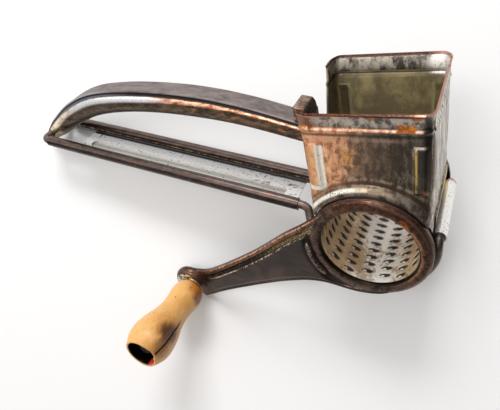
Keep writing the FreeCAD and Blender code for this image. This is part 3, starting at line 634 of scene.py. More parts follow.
def paint_hopper_inside(g, settings):
    """Inside, with the back wall's bands seen from behind and painted highlights and shade; gives the back
    wall.
    """
    # Painted highlight: yellower tin in the middle of the back wall.
    yellow_highlight = g.x.inside(-8.0, 19.0, 8.0) * g.mottle.step(0.38, 0.60)
    olive = g.blend(yellow_highlight, settings.olive, rgb(0.95, 0.80, 0.36))
    back = g.y.step(MID_Y, 40.0) * g.inner
    g.paint(g.inner, rgb(0.16, 0.15, 0.12))
    g.paint_two(back, g.broad.stirred(g.mottle, 0.5).step(0.36, 0.62), olive, rgb(0.42, 0.34, 0.19))
    # Painted shade: darker inside the recessed bands, more so on the left.
    bands = g.strip(-22.2, -18.4, 28.0, 49.6).most(g.strip(18.4, 22.2, 28.0, 49.6)) * back
    g.paint(bands * (0.75 - g.x.step(0.0, 4.0) * 0.4), rgb(0.085, 0.08, 0.055))
    # Painted highlight: light olive along the bands' edges.
    left_edge = g.strip(-18.4, -17.0, 28.0, 50.2, 0.2).most(g.strip(-22.2, -17.0, 49.4, 50.2, 0.2))
    right_edge = g.strip(17.2, 18.4, 28.0, 50.2, 0.2)
    g.paint(left_edge.most(right_edge) * back * g.mottle.step(0.36, 0.5), rgb(0.72, 0.66, 0.42))
    g.paint(g.x.step(-21.6, -23.2) * g.inner * 0.8, rgb(0.05, 0.05, 0.045))
    top = g.z.step(55.2, 56.2) * g.inner
    g.paint_two(top, g.mottle.stirred(g.streak, 0.6).step(0.38, 0.62), rgb(0.05, 0.042, 0.034),
                rgb(0.40, 0.36, 0.29))
    g.paint(g.z.inside(53.4, 55.0, 0.4) * g.inner * 0.85, rgb(0.035, 0.03, 0.024))
    # Painted highlight: a bright cream spot high in the right back corner.
    painted_glint = g.near((21.5, 46.5, 58.6), 8.0, 0.4) * g.inner
    g.paint(painted_glint * g.mottle.stirred(g.streak, 0.5).step(0.36, 0.48), rgb(0.99, 0.96, 0.88))
    return back


def paint_hopper_rim(g):
    """Dark edge of the rim with a painted highlight, and the rust under it, which it gives, with a few spots.
    """
    lip = g.z.step(60.8, 61.3)
    g.paint_two(lip, g.fine.step(0.4, 0.62), rgb(0.028, 0.011, 0.008), rgb(0.115, 0.045, 0.030))
    # Painted highlight: salmon along the right part of the lip.
    g.paint(lip * g.x.step(14.0, 24.0) * g.mottle.step(0.36, 0.5) * 0.8, rgb(0.56, 0.30, 0.23))
    rust = g.patch(-23.0, -18.9, 53.6, 56.6).most(g.patch(12.2, 18.3, 54.2, 57.2)) * g.front
    rim_spots = g.patch(2.4, 5.0, 59.6, 60.8).most(g.patch(17.2, 20.6, 59.7, 61.0))
    low_spots = g.patch(20.4, 21.6, 28.8, 30.6).most(g.patch(-13.0, -7.0, 31.2, 32.4) * 0.6)
    g.paint_two(rust, g.mottle.step(0.42, 0.58), rgb(0.30, 0.06, 0.004), rgb(0.80, 0.27, 0.012))
    g.paint(g.patch(-22.6, -20.0, 54.0, 55.6) * g.front * g.fine.step(0.4, 0.55), rgb(0.98, 0.80, 0.50))
    g.paint(rim_spots.most(low_spots) * g.front * 0.9, rgb(0.40, 0.11, 0.02))
    return rust


# Stations along the upper handle, nose first: x and z of its top, the section's depth, and its half
# width at the top and below.
LEVER = (
    (-196.5, 31.2, 4.6, 2.2, 3.0), (-189.5, 37.4, 7.6, 3.2, 5.0), (-180.5, 44.2, 10.6, 4.2, 6.4),
    (-164.0, 53.8, 12.2, 5.2, 7.2), (-146.0, 59.9, 12.2, 5.7, 7.6), (-126.0, 61.6, 11.4, 5.7, 7.8),
    (-104.0, 61.0, 10.8, 5.7, 7.8), (-80.0, 58.4, 10.4, 5.7, 7.8), (-56.0, 53.3, 9.4, 5.7, 7.6),
    (-28.0, 44.9, 8.4, 5.6, 7.2),
)

# Half of the handle's section: width (1 at the crease, 2 at the widest place) and share of the depth.
LEVER_SECTION = ((0.0, 0.012), (0.35, 0.008), (0.7, 0.0), (0.9, 0.012), (0.985, 0.055), (1.02, 0.115),
                 (1.24, 0.155), (1.62, 0.235), (1.93, 0.37), (2.02, 0.55), (1.9, 0.76), (1.5, 0.92),
                 (1.05, 1.0))
NOSE_SHARE = 0.05           # share of the handle's length over which its nose closes
TIP_PIN = (-187.0, 35.0)    # x and z of the wire's cross bar, on which the upper handle turns
TIP_HOLE_R = 2.3


def lever_vertex(column, row):
    """Upper handle's outer face: across its section, and along it from the nose."""
    x, z, depth, half_top, half_low = through(LEVER, row)
    ahead, behind = through(LEVER, min(row + 0.01, 1.0)), through(LEVER, max(row - 0.01, 0.0))
    direction = Vector((ahead[0] - behind[0], 0, ahead[1] - behind[1])).normalized()
    up = Vector((-direction.z, 0, direction.x))
    closing = math.sqrt(clamp(row / NOSE_SHARE))
    side = -1.0 if column < 0.5 else 1.0
    width, drop = through(LEVER_SECTION, abs(column - 0.5) * 2)
    width = half_top * width if width < 1.0 else half_top + (half_low - half_top) * (width - 1.0)
    return Vector((x, MID_Y + side * width * mix(0.25, 1.0, closing), z)) - up * (drop * depth)


def from_pin(vert):
    """The way from the pin's axis to a vertex, square to the axis."""
    return Vector((vert.co.x - TIP_PIN[0], 0, vert.co.z - TIP_PIN[1]))


def draw_to_hole(bm):
    """Moves what stands in the pin's hole out to the hole's circle."""
    for vert in bm.verts:
        reach = from_pin(vert)
        if 0.0 < reach.length < TIP_HOLE_R:
            vert.co += reach * (TIP_HOLE_R / reach.length - 1.0)


def open_pin_hole(bm):
    """Cuts the round hole for the pin, along Y, through the sheet."""
    within = {vert for vert in bm.verts if from_pin(vert).length < TIP_HOLE_R}
    gone = [face for face in bm.faces if all(vert in within for vert in face.verts)]
    bmesh.ops.delete(bm, geom=gone, context="FACES")
    draw_to_hole(bm)


def build_upper_handle(settings):
    bm = bmesh.new()
    grid_surface(bm, 96, 340, lever_vertex)
    open_pin_hole(bm)
    thicken(bm, settings.sheet / MM, True)
    draw_to_hole(bm)
    show(bm, "upper_handle_skin", "lever", "upper_handle", handle_tin(settings))


def handle_tin(settings):
    """Upper handle: mottled top, painted shade in the crease, rounded side with a painted highlight that
    turns copper.
    """
    g = Graph("handle_tin")
    broad, streak, fine, pits = wear(g, (0.12, 1.0, 1.0))
    mottle = g.noise(0.42, 7, 0.72, 0.2, g.stretched(0.4, 1.0, 1.0))
    down = (g.attribute("across") - 0.5).size() * 2.0
    along = g.attribute("along")
    inner = g.attribute("side")
    top = down.step(0.37, 0.31)
    rough_down = down.stirred(fine, 0.06)
    g.colour = g.blend((mottle * 0.6 + streak * 0.4).step(0.38, 0.60), rgb(0.038, 0.026, 0.018),
                       rgb(0.155, 0.110, 0.075))
    g.paint(g.x.step(-120.0, -70.0) * mottle.step(0.52, 0.62) * 0.7, rgb(0.36, 0.14, 0.06))
    g.paint(g.x.step(-168.0, -182.0) * mottle.step(0.40, 0.60) * 0.8, rgb(0.44, 0.32, 0.20))
    # Painted shade: near black along the underside of the rounded side.
    g.paint(rough_down.step(0.80, 0.92) * 0.85, rgb(0.022, 0.016, 0.012))
    # Painted highlight along the rounded side: tan at the nose, white in the middle, copper to the right,
    # fading at the end.
    tan = g.blend(mottle.step(0.36, 0.56), rgb(0.42, 0.29, 0.17), rgb(0.95, 0.84, 0.62))
    white = g.blend(fine.step(0.26, 0.46), rgb(0.55, 0.47, 0.36), rgb(0.97, 0.98, 1.0))
    copper = g.blend(mottle.step(0.40, 0.58), rgb(0.36, 0.13, 0.07), rgb(0.98, 0.58, 0.38))
    shine = g.blend(g.x.step(-112.0, -92.0), g.blend(g.x.step(-172.0, -152.0), tan, white), copper)
    centre = 0.635 - g.x.step(-120.0, -40.0) * 0.065
    width = 0.095 + g.x.step(-165.0, -190.0) * 0.07 - g.x.step(-120.0, -50.0) * 0.035
    line = ((rough_down - centre).size() / width).step(1.0, 0.4)
    g.paint(line * (1.0 - g.x.step(-60.0, -30.0) * 0.5), shine)
    # Painted shade in the crease, turning to a painted blue-grey reflection towards the side near the nose.
    crease = down.inside(0.345, 0.525, 0.03)
    g.paint_two(crease, down.step(0.40, 0.53) * g.x.step(-112.0, -140.0), rgb(0.016, 0.015, 0.018),
                rgb(0.17, 0.18, 0.22))
    g.paint_two(top, (streak * 0.5 + mottle * 0.5).step(0.38, 0.60), rgb(0.105, 0.085, 0.080),
                rgb(0.23, 0.19, 0.178))
    # Painted reflection: a blue-grey band on the top beside the crease, towards the nose.
    g.paint(down.inside(0.22, 0.34, 0.05) * along.inside(0.16, 0.50, 0.08) * 0.6, rgb(0.44, 0.45, 0.50))
    g.paint(top * fine.step(0.58, 0.72) * 0.5, rgb(0.46, 0.32, 0.24))
    # Painted shade: the lowest edge darker still.
    g.paint(down.step(0.93, 0.98), rgb(0.030, 0.024, 0.020))
    g.paint(along.step(0.05, 0.01) * fine.step(0.35, 0.55), rgb(0.34, 0.22, 0.11))
    g.paint(inner, rgb(0.05, 0.035, 0.025))
    g.paint(pits, rgb(0.015, 0.012, 0.010))
    g.paint(g.specks(0.8, 0.15) * fine.step(0.46, 0.56) * (1.0 - top), rgb(0.02, 0.015, 0.012))
    roughness = fine * 0.2 + streak * 0.1 + 0.14 + top * 0.26 + crease * 0.16
    height = fine * 0.5 + streak * 0.3 - pits * 1.2 + broad
    return g.finish(0.92 - top * 0.25, roughness, height)


# Outlines in x and z: round the hood, and down the leg to the plate.
HOOD = ((-30.4, 46.4), (-33.4, 46.8), (-33.6, 47.4), (-33.6, 50.2), (-33.6, 53.0), (-33.4, 53.6),
        (-32.9, 53.65), (-31.0, 53.3), (-29.0, 52.9), (-28.2, 52.4), (-27.4, 50.9), (-27.2, 50.0),
        (-27.2, 46.8), (-30.4, 46.4))
HOOD_MIDDLE = (-30.4, 50.0)
LEG = ((-27.75, 48.0), (-27.75, 40.0), (-27.6, 31.0), (-22.0, 24.9), (-16.2, 19.5), (-8.6, 23.7), (0.0, 25.2),
       (6.1, 24.45), (11.8, 22.25))
LEG_SHEET = 0.9
STEM_Y = (MID_Y - 6.0, MID_Y + 6.0)


def hood_vertex(column, row):
    """Closed hood over the upper handle's end, rounded at its front and back."""
    rounding = 0.8
    x, z = through(HOOD, column)
    from_end = min(row, 1.0 - row) * (STEM_Y[1] - STEM_Y[0])
    shrink = 0.20 * (1.0 - math.sqrt(1.0 - (1.0 - clamp(from_end / rounding)) ** 2))
    return Vector((mix(x, HOOD_MIDDLE[0], shrink), mix(*STEM_Y, row), mix(z, HOOD_MIDDLE[1], shrink)))


def leg_vertex(column, row):
    x, z = through(LEG, row)
    return Vector((x, mix(*STEM_Y, column), z))


def build_presser_stem(settings):
    bm = bmesh.new()
    grid_surface(bm, 72, 60, hood_vertex)
    bmesh.ops.remove_doubles(bm, verts=bm.verts, dist=0.01)
    bmesh.ops.holes_fill(bm, edges=bm.edges, sides=0)
    leg = bmesh.new()
    grid_surface(leg, 24, 80, leg_vertex)
    thicken(leg, LEG_SHEET)
    add(bm, leg)
    show(bm, "presser_leg", "lever", "presser_stem", hood_tin(settings), 60.0)


def hood_tin(settings):
    """Brown hood with scratches along it, an orange spot and painted shade on its right side."""
    g = Graph("hood_tin")
    _, streak, fine, pits = wear(g, (0.35, 1.0, 0.35))
    mottle = g.noise(0.5, 6, 0.7, 0.5)
    g.colour = g.blend(mottle.stirred(streak, 0.6).step(0.38, 0.62), rgb(0.075, 0.042, 0.028),
                       rgb(0.30, 0.185, 0.13))
    slanting = g.join(g.x * 0.9 + g.y * 0.5, g.y * 0.10, g.z * 0.7)
    scratch = g.noise(1.6, 4, 0.7, 0.0, slanting).step(0.60, 0.66)
    g.paint(scratch * g.z.step(46.0, 50.0) * 0.8, rgb(0.88, 0.78, 0.66))
    # Painted shade: near black on the hood's right side.
    g.paint(g.x.step(-29.4, -28.4) * 0.85, rgb(0.030, 0.024, 0.020))
    g.paint(g.y.step(20.0, 18.2) * 0.4, rgb(0.16, 0.075, 0.045))
    g.paint(g.ragged((-33.4, 19.0, 48.6), 1.9), rgb(0.62, 0.22, 0.03))
    g.paint(pits * 0.8, rgb(0.02, 0.016, 0.013))
    return g.finish(0.85, fine * 0.25 + 0.24, fine * 0.5 + mottle - pits + scratch * 0.5, 0.06)


# The arm's upper and lower edge: distance along the arm, and across it towards the upper edge.
ARM_TOP = ((10.0, 23.0), (22.0, 19.4), (34.4, 16.6), (46.0, 13.2), (57.4, 10.0), (73.3, 6.6), (90.0, 3.8),
           (97.0, 3.6), (102.0, 4.8), (106.0, 6.0), (109.0, 6.3))
ARM_LOW = ((0.0, -25.0), (5.0, -25.3), (10.0, -24.6), (16.0, -22.6), (21.0, -19.6), (25.0, -16.9),
           (29.0, -14.6), (34.0, -12.8), (40.0, -11.6), (48.0, -10.9), (62.0, -10.8), (80.0, -11.4),
           (97.0, -12.6), (105.0, -13.5), (109.0, -14.0))
# Sections through the rim, the groove and the panel's start: distance from the arm's edge, and y.
PANEL_Y = -6.55
RIM_SECTION = ((0.0, -3.1), (0.0, -4.6), (0.2, -5.25), (0.8, -5.7), (1.7, -5.75), (2.4, -5.3), (3.0, -4.8),
               (3.8, -4.75), (4.4, -5.3), (4.9, -6.1), (5.5, -6.5), (6.4, PANEL_Y))
LOW_SECTION = ((4.6, PANEL_Y), (3.8, -6.5), (3.1, -6.1), (2.5, -5.4), (1.9, -5.15), (1.3, -5.3),
               (0.7, -5.5), (0.2, -5.2), (0.0, -4.6), (0.0, -3.1))
RIM_SHARE = 0.42            # share of the arm's columns that the upper section takes
LOW_SHARE = 0.38
# Sections of radius and y: the crank's ring about the drum's axis, and the boss about its own.
CRANK_RING = ((20.55, -3.5), (20.5, -4.2), (20.6, -4.75), (20.95, -5.15), (21.5, -5.4), (22.2, -5.5),
              (23.0, -5.45), (23.9, -5.45), (24.7, -5.35), (25.4, -5.05), (25.85, -4.55), (26.0, -4.0),
              (25.9, -3.95), (24.0, -3.95), (20.55, -3.5))
CRANK_BOSS = ((PIN_R, -7.6), (2.7, -8.55), (5.2, -8.55), (6.9, -8.2), (8.2, -7.3), (9.0, -6.0),
              (9.2, -4.6), (8.8, -3.3), (7.8, -2.4), (5.8, -2.4), (5.8, -6.9), (PIN_R, -7.4))


def arm_across(column, along):
    """Distance towards the upper edge, with the height of the arm's face there."""
    top = table(ARM_TOP, along)
    low = table(ARM_LOW, along)
    low_start = 1.0 - LOW_SHARE
    if column < RIM_SHARE:
        offset, y = through(RIM_SECTION, column / RIM_SHARE)
        return top - offset, y
    if column > low_start:
        offset, y = through(LOW_SECTION, (column - low_start) / LOW_SHARE)
        return low + offset, y
    panel_share = (column - RIM_SHARE) / (low_start - RIM_SHARE)
    return mix(top - RIM_SECTION[-1][0], low + LOW_SECTION[0][0], panel_share), PANEL_Y


def arm_start(column):
    """Where a column of the arm's grid leaves the ring, found by repeated correction."""
    radius, along = 25.0, 15.0
    for _ in range(40):
        along = math.sqrt(max(radius ** 2 - arm_across(column, along)[0] ** 2, 4.0))
    return along


def arm_vertex(starts, column, row):
    """Crank arm's front: across it from its upper edge, and along it from the ring."""
    along = mix(starts[round(column * (len(starts) - 1))], ARM_END, row ** 1.6)
    across, y = arm_across(column, along)
    on_face = y < -4.6
    if on_face:
        # The panel ends in a curve before the boss, and a bead is raised where the arm leaves the ring.
        panel_end = 0.02 * (across + 9.0) ** 2
        y = mix(-5.25, y, smooth(101.0, 96.0, along + panel_end))
        radius = math.hypot(along, across)
        y = mix(-5.35, y, smooth(25.5, 28.6, radius))
        angle = math.degrees(math.atan2(across, along))
        y -= 1.5 * bump(26.3, 0.95, radius) * smooth(26.0, 20.0, angle) * smooth(-21.0, -15.0, angle)
        y -= 2.0 * smooth(12.0, 6.8, math.hypot(along - BOSS[0], across - BOSS[1]))
        y += 0.12 * noise.noise(Vector((along, across, 0)) * 0.10)
    return crank_point(along, across, y)


def build_crank(settings):
    bm = bmesh.new()
    columns = 96
    starts = [arm_start(column / columns) for column in range(columns + 1)]
    grid_surface(bm, columns, 190, lambda column, row: arm_vertex(starts, column, row))
    thicken(bm, CRANK_SHEET, True)
    band = bmesh.new()
    lathe(band, CRANK_RING, (0, 0), 160)
    mark = layer(band, "ring")
    for vert in band.verts:
        vert[mark] = 1.0
    centre = crank_point(*BOSS, 0)
    lathe(band, CRANK_BOSS, (centre.x, centre.z), 72)
    add(bm, band)
    show(bm, "crank", "drum", "crank_arm", crank_steel(settings), 50.0)


class CrankGraph(Graph):
    """Material of the crank, with its noises and its two parts; reach is the way along the arm."""

    def __init__(self, name):
        super().__init__(name)
        self.broad, _, self.fine, self.pits = wear(self, (1.0, 1.0, 1.0))
        self.mottle = self.noise(0.6, 6, 0.75, 0.2)
        self.reach = self.x * math.cos(CRANK_ANGLE) + self.z * math.sin(CRANK_ANGLE)
        self.across = self.attribute("across")
        self.ring = self.attribute("ring")
        self.arm = (1.0 - self.ring) * self.across.step(0.0, 0.002) * self.attribute("side").step(0.6, 0.4)


def crank_steel(settings):
    """Darkened stamped steel: brown rim, speckled groove painted dark as shade, painted highlights where the
    panel rises.
    """
    g = CrankGraph("crank_steel")
    g.colour = g.blend(g.broad.stirred(g.fine, 0.3).step(0.36, 0.66), settings.steel,
                       rgb(0.095, 0.062, 0.048))
    line, groove = paint_crank_arm(g, settings)
    paint_crank_bead(g)
    paint_crank_ring(g)
    worn = paint_crank_boss(g)
    g.paint(g.pits * 0.7, rgb(0.02, 0.016, 0.014))
    bright = (line + worn).least(1.0)
    roughness = g.fine * 0.24 + 0.22 - bright * 0.08 + groove * 0.15
    height = g.fine * 0.5 + g.broad * 1.2 - g.pits
    return g.finish(0.92, roughness, height, 0.05, 0.1)


def paint_crank_arm(g, settings):
    """Brown rim, speckled groove and the lines where the panel rises, with painted highlights and shade;
    gives the upper line and the groove.
    """
    rim = g.across.inside(0.02, 0.175, 0.012) * g.arm
    g.paint_two(rim, g.mottle.step(0.38, 0.60), rgb(0.085, 0.040, 0.026), settings.steel_brown)
    # Painted highlight: copper along the rounded upper rim.
    rim_highlight = g.across.inside(0.055, 0.10, 0.015) * g.arm * g.mottle.step(0.42, 0.54)
    g.paint(rim_highlight * g.reach.step(98.0, 80.0), rgb(0.80, 0.42, 0.24))
    # Painted shade: the groove beside the rim near black, with gold specks.
    groove = g.across.inside(0.185, 0.325, 0.012) * g.arm * g.reach.step(101.0, 95.0)
    specks = (g.noise(2.0, 4, 0.8) + g.reach.step(70.0, 34.0) * 0.09).step(0.58, 0.66)
    g.paint_two(groove, specks, rgb(0.012, 0.009, 0.007), rgb(0.62, 0.44, 0.22))
    # Painted highlights: light lines where the panel rises and along the lower edge.
    line = g.across.inside(0.335, 0.372, 0.008) * g.arm * g.reach.step(97.0, 90.0)
    g.paint(line * g.mottle.stirred(g.fine, 0.5).step(0.44, 0.56), rgb(0.66, 0.56, 0.46))
    low_line = g.across.inside(0.72, 0.755, 0.008) * g.arm * g.reach.step(100.0, 90.0)
    g.paint(low_line * g.mottle.stirred(g.fine, 0.5).step(0.44, 0.58), rgb(0.74, 0.60, 0.44))
    g.paint(g.across.step(0.86, 0.9) * g.arm * 0.6, rgb(0.012, 0.009, 0.008))
    return line, groove


def paint_crank_bead(g):
    """Raised bead where the arm leaves the ring, with painted highlight specks and a dark line beside it."""
    radius = g.radius()
    bead = radius.inside(25.0, 27.2, 0.3) * g.arm * g.y.step(-6.1, -6.4)
    g.paint(bead * 0.8, rgb(0.035, 0.024, 0.018))
    # Painted highlight: bright specks on the bead.
    specks = (g.noise(1.3, 5, 0.85) + radius.inside(25.7, 26.6, 0.3) * 0.05).step(0.54, 0.60)
    g.paint(bead * specks, rgb(0.86, 0.62, 0.44))
    g.paint(radius.inside(27.4, 29.4, 0.4) * g.arm * g.y.step(-5.5, -5.9) * 0.7, rgb(0.014, 0.010, 0.008))


def paint_crank_ring(g):
    """Dark ring, redder at its upper left, with painted highlights, a rusty spot and painted shade at its
    inner edge.
    """
    radius = g.radius()
    g.paint_two(g.ring, g.mottle.stirred(g.broad, 0.6).step(0.38, 0.62), rgb(0.032, 0.022, 0.017),
                rgb(0.15, 0.088, 0.060))
    # Redder at the upper left: partly the steel's own red-brown, partly a painted highlight along the ring's
    # top.
    upper_left = g.z.step(-8.0, 20.0) * g.x.step(-22.0, -8.0)
    g.paint_two(g.ring * upper_left * 0.7, g.mottle.step(0.36, 0.62), rgb(0.052, 0.019, 0.012),
                rgb(0.155, 0.060, 0.032))
    # Painted highlight round the ring's rounded outer lip.
    rim_highlight = g.ring * radius.inside(24.4, 25.3, 0.3) * g.broad.stirred(g.fine, 0.2).step(0.40, 0.60)
    g.paint(rim_highlight * 0.5, rgb(0.30, 0.19, 0.125))
    # Painted highlight: warm orange on the inner edge at the right.
    painted_glint = g.ring * radius.inside(21.3, 22.6, 0.3) * g.x.step(6.0, 16.0) * g.z.inside(-14.0, 16.0, 4.0)
    g.paint(painted_glint * g.mottle.step(0.38, 0.54) * 0.55, rgb(0.50, 0.22, 0.08))
    rust = g.ring * g.ragged((14.0, -5.4, 16.5), 3.6, 1.6)
    g.paint(rust * g.mottle.step(0.40, 0.56), rgb(0.50, 0.13, 0.02))
    # Painted shade: black at the ring's inner edge.
    g.paint(radius.step(21.5, 21.0) * g.ring * 0.95, rgb(0.006, 0.005, 0.004))


def paint_crank_boss(g):
    """Brown end of the arm, with small worn specks on the boss, which it gives."""
    end = (1.0 - g.ring) * g.reach.step(101.0, 105.0)
    g.paint(end * g.mottle.step(0.32, 0.60) * 0.85, rgb(0.17, 0.088, 0.058))
    seat = crank_point(BOSS[0], BOSS[1] + 1.0, BOSS_FACE_Y)
    worn = g.near(tuple(seat), 7.4, 0.8) * g.y.step(-7.7, -8.2) * g.reach.step(102.0, 106.0)
    g.paint(worn * g.mottle.stirred(g.fine, 0.6).step(0.46, 0.55), rgb(0.98, 0.88, 0.66))
    return worn


# The drum's teeth stand in columns along it, and the columns are shifted by thirds of the pitch.
TOOTH_COLUMNS = 16
TOOTH_ROWS = 11
TOOTH_PITCH = 4.5
TOOTH_FIRST_Y = -0.3
TOOTH_SPREAD = 2 * math.pi * DRUM_R / TOOTH_COLUMNS    # width of a column, round the drum
# Rings of one tooth from the sheet to its tip: offset and half length round the drum, half height, rise.
TOOTH_RINGS = ((0.15, 3.05, 1.30, 0.0), (-0.25, 2.40, 1.05, 0.4), (-1.25, 1.25, 1.05, 0.85),
               (-1.35, 0.34, 0.30, 1.15))


def drum_point(angle, y, rise=0.0):
    """Point on the drum's sheet, or so much outside it."""
    radius = DRUM_R - DRUM_SHEET + rise
    return Vector((radius * math.cos(angle), y, radius * math.sin(angle)))


def drum_tooth(bm, deep, middle_angle, y):
    """One grating tooth: a dimple pushed out of the sheet, with its hole at one end."""
    count = 20
    loops = []
    for index in range(len(TOOTH_RINGS) + 1):
        verts = []
        for step in range(count):
            turn = 2 * math.pi * (step + 0.5) / count
            cosine, sine = math.cos(turn), math.sin(turn)
            if index == 0:
                edge = 0.5 / max(abs(cosine), abs(sine))
                around, rise, up = cosine * edge * TOOTH_SPREAD, 0.0, sine * edge * TOOTH_PITCH
            else:
                centre, half, tall, rise = TOOTH_RINGS[index - 1]
                around, up = centre + half * cosine, tall * sine
                rise *= mix(1.0, 0.45, clamp(0.5 + 0.5 * cosine)) if index < len(TOOTH_RINGS) else 1.0
            vert = bm.verts.new(drum_point(middle_angle + around / DRUM_R, y + up, rise))
            vert[deep] = rise
            verts.append(vert)
        loops.append([bm.edges.new((verts[i], verts[(i + 1) % count])) for i in range(count)])
    for low, high in zip(loops, loops[1:]):
        bmesh.ops.bridge_loops(bm, edges=low + high)


def drum_strip(bm, middle_angle, low, high):
    """Plain sheet at an end of one column of teeth."""
    def place(column, row):
        return drum_point(middle_angle + (column - 0.5) * TOOTH_SPREAD / DRUM_R, mix(low, high, row))
    grid_surface(bm, 12, 3, place)


def build_drum(settings):
    bm = bmesh.new()
    for name in ("across", "along", "deep"):    # each layer is made before the first is used
        layer(bm, name)
    deep = layer(bm, "deep")
    twist = 1.2 / DRUM_R
    for column in range(TOOTH_COLUMNS):
        angle = 2 * math.pi * (column + 0.5) / TOOTH_COLUMNS + twist
        start = TOOTH_FIRST_Y + TOOTH_PITCH / 3 * ((1 - column) % 3)
        for row in range(TOOTH_ROWS):
            drum_tooth(bm, deep, angle, start + row * TOOTH_PITCH)
        drum_strip(bm, angle, DRUM_Y[0], start - TOOTH_PITCH / 2)
        drum_strip(bm, angle, start + (TOOTH_ROWS - 0.5) * TOOTH_PITCH, DRUM_Y[1])
    bmesh.ops.remove_doubles(bm, verts=bm.verts, dist=0.01)
    bmesh.ops.recalc_face_normals(bm, faces=bm.faces)
    bmesh.ops.solidify(bm, geom=bm.faces[:], thickness=-DRUM_SHEET)
    show(bm, "drum", "drum", "drum_shell", drum_tin(settings), 60.0)


def drum_tin(settings):
    """Bright scratched tin, golden at the sides, with painted shade in each tooth's recess and painted light
    at its hole.
    """
    g = Graph("drum_tin")
    broad, streak, fine, pits = wear(g, (1.0, 0.3, 1.0))
    mottle = g.noise(0.5, 6, 0.7, 0.3)
    gold = g.blend(mottle.step(0.36, 0.62), rgb(0.42, 0.25, 0.10), rgb(0.92, 0.72, 0.42))
    g.colour = g.blend(fine.stirred(mottle, 0.8).step(0.24, 0.44), rgb(0.66, 0.55, 0.40),
                       settings.drum_bright)
    aside = (g.x - 1.0).size().stirred(broad, 16.0).stirred(mottle, 8.0)
    g.paint(aside.step(6.0, 14.0) * 0.9, gold)
    g.paint((broad * 0.5 + mottle * 0.5).step(0.51, 0.57) * 0.7, rgb(0.36, 0.21, 0.09))
    deep = g.attribute("deep")
    # Painted shade in each tooth's recess.
    g.paint(deep.step(0.02, 0.24) * 0.96, rgb(0.010, 0.007, 0.005))
    # Painted light: bright dots at each tooth's hole, where light shows through.
    lip = deep.step(0.78, 0.90) * (0.5 + g.y.step(22.0, 12.0) * 0.5)
    g.paint(lip * mottle.stirred(fine, 1.0).step(0.30, 0.42), rgb(1.0, 0.99, 0.96))
    g.paint(pits * 0.6, rgb(0.04, 0.03, 0.02))
    roughness = fine * 0.25 + streak * 0.1 + 0.13 + deep * 0.3
    return g.finish(0.15 - lip * 0.15, roughness, fine * 0.5 + streak * 0.4 - pits)


# The knob's outline: share of its length from the foot, and radius.
KNOB_SIDE = ((0.0, 5.6), (0.03, 7.3), (0.1, 8.4), (0.18, 8.5), (0.3, 7.8), (0.4, 7.9), (0.52, 8.9),
             (0.65, 10.7), (0.78, 11.6), (0.88, 11.2), (0.96, 9.6), (1.0, 8.5))
# Its mouth and counterbore: radius, and distance in from the mouth.
KNOB_MOUTH = ((8.1, -0.02), (7.75, 0.1), (7.5, 0.45), (7.4, 1.2), (7.35, 3.5), (7.2, 6.4), (6.9, 6.5))


def knob_profile():
    """Closed section of the knob, of radius and y, from the pin's hole at the foot and back to it."""
    mouth, foot = KNOB_Y
    steps = 66
    profile = [(PIN_R, foot)]
    for step in range(steps + 1):
        share, radius = through(KNOB_SIDE, step / steps)
        profile.append((radius, foot - share * (foot - mouth)))
    profile += [(radius, mouth + inwards) for radius, inwards in KNOB_MOUTH]
    return profile + [(PIN_R, mouth + COUNTERBORE_DEEP), (PIN_R, foot)]


def crack_depth(share, turn):
    """Depth of the long crack, by share of the knob's length and degrees round it."""
    offset = turn - mix(8.0, 17.0, smooth(0.50, 0.70, share)) + 4.5 * smooth(0.86, 1.0, share)
    return 0.35 * bump(0.0, 2.2, offset) * smooth(0.50, 0.58, share) * smooth(1.0, 0.95, share)


def build_knob(settings):
    bm = bmesh.new()
    centre = crank_point(*KNOB_SEAT, 0)
    lathe(bm, knob_profile(), (centre.x, centre.z), 120)
    for name in ("share", "turn", "bore"):    # each layer is made before the first is used
        layer(bm, name)
    share_layer, turn_layer, bore_layer = layer(bm, "share"), layer(bm, "turn"), layer(bm, "bore")
    for vert in bm.verts:
        from_axis = Vector((vert.co.x - centre.x, 0, vert.co.z - centre.z))
        share = (KNOB_Y[1] - vert.co.y) / (KNOB_Y[1] - KNOB_Y[0])
        turn = math.degrees(math.atan2(from_axis.z, from_axis.x)) % 360
        bore = smooth(7.9, 7.5, from_axis.length) * smooth(0.80, 0.86, share)
        vert[share_layer], vert[turn_layer], vert[bore_layer] = share, turn, bore
        vert.co.y += 0.9 * bump(0.98, 0.05, share) * bump(20.0, 26.0, turn)
        if bore < 0.5:
            vert.co -= from_axis.normalized() * crack_depth(share, turn)
    bmesh.ops.transform(bm, matrix=knob_tilt(), verts=bm.verts)
    show(bm, "knob", "knob", "wooden_knob", knob_wood(settings), 60.0)


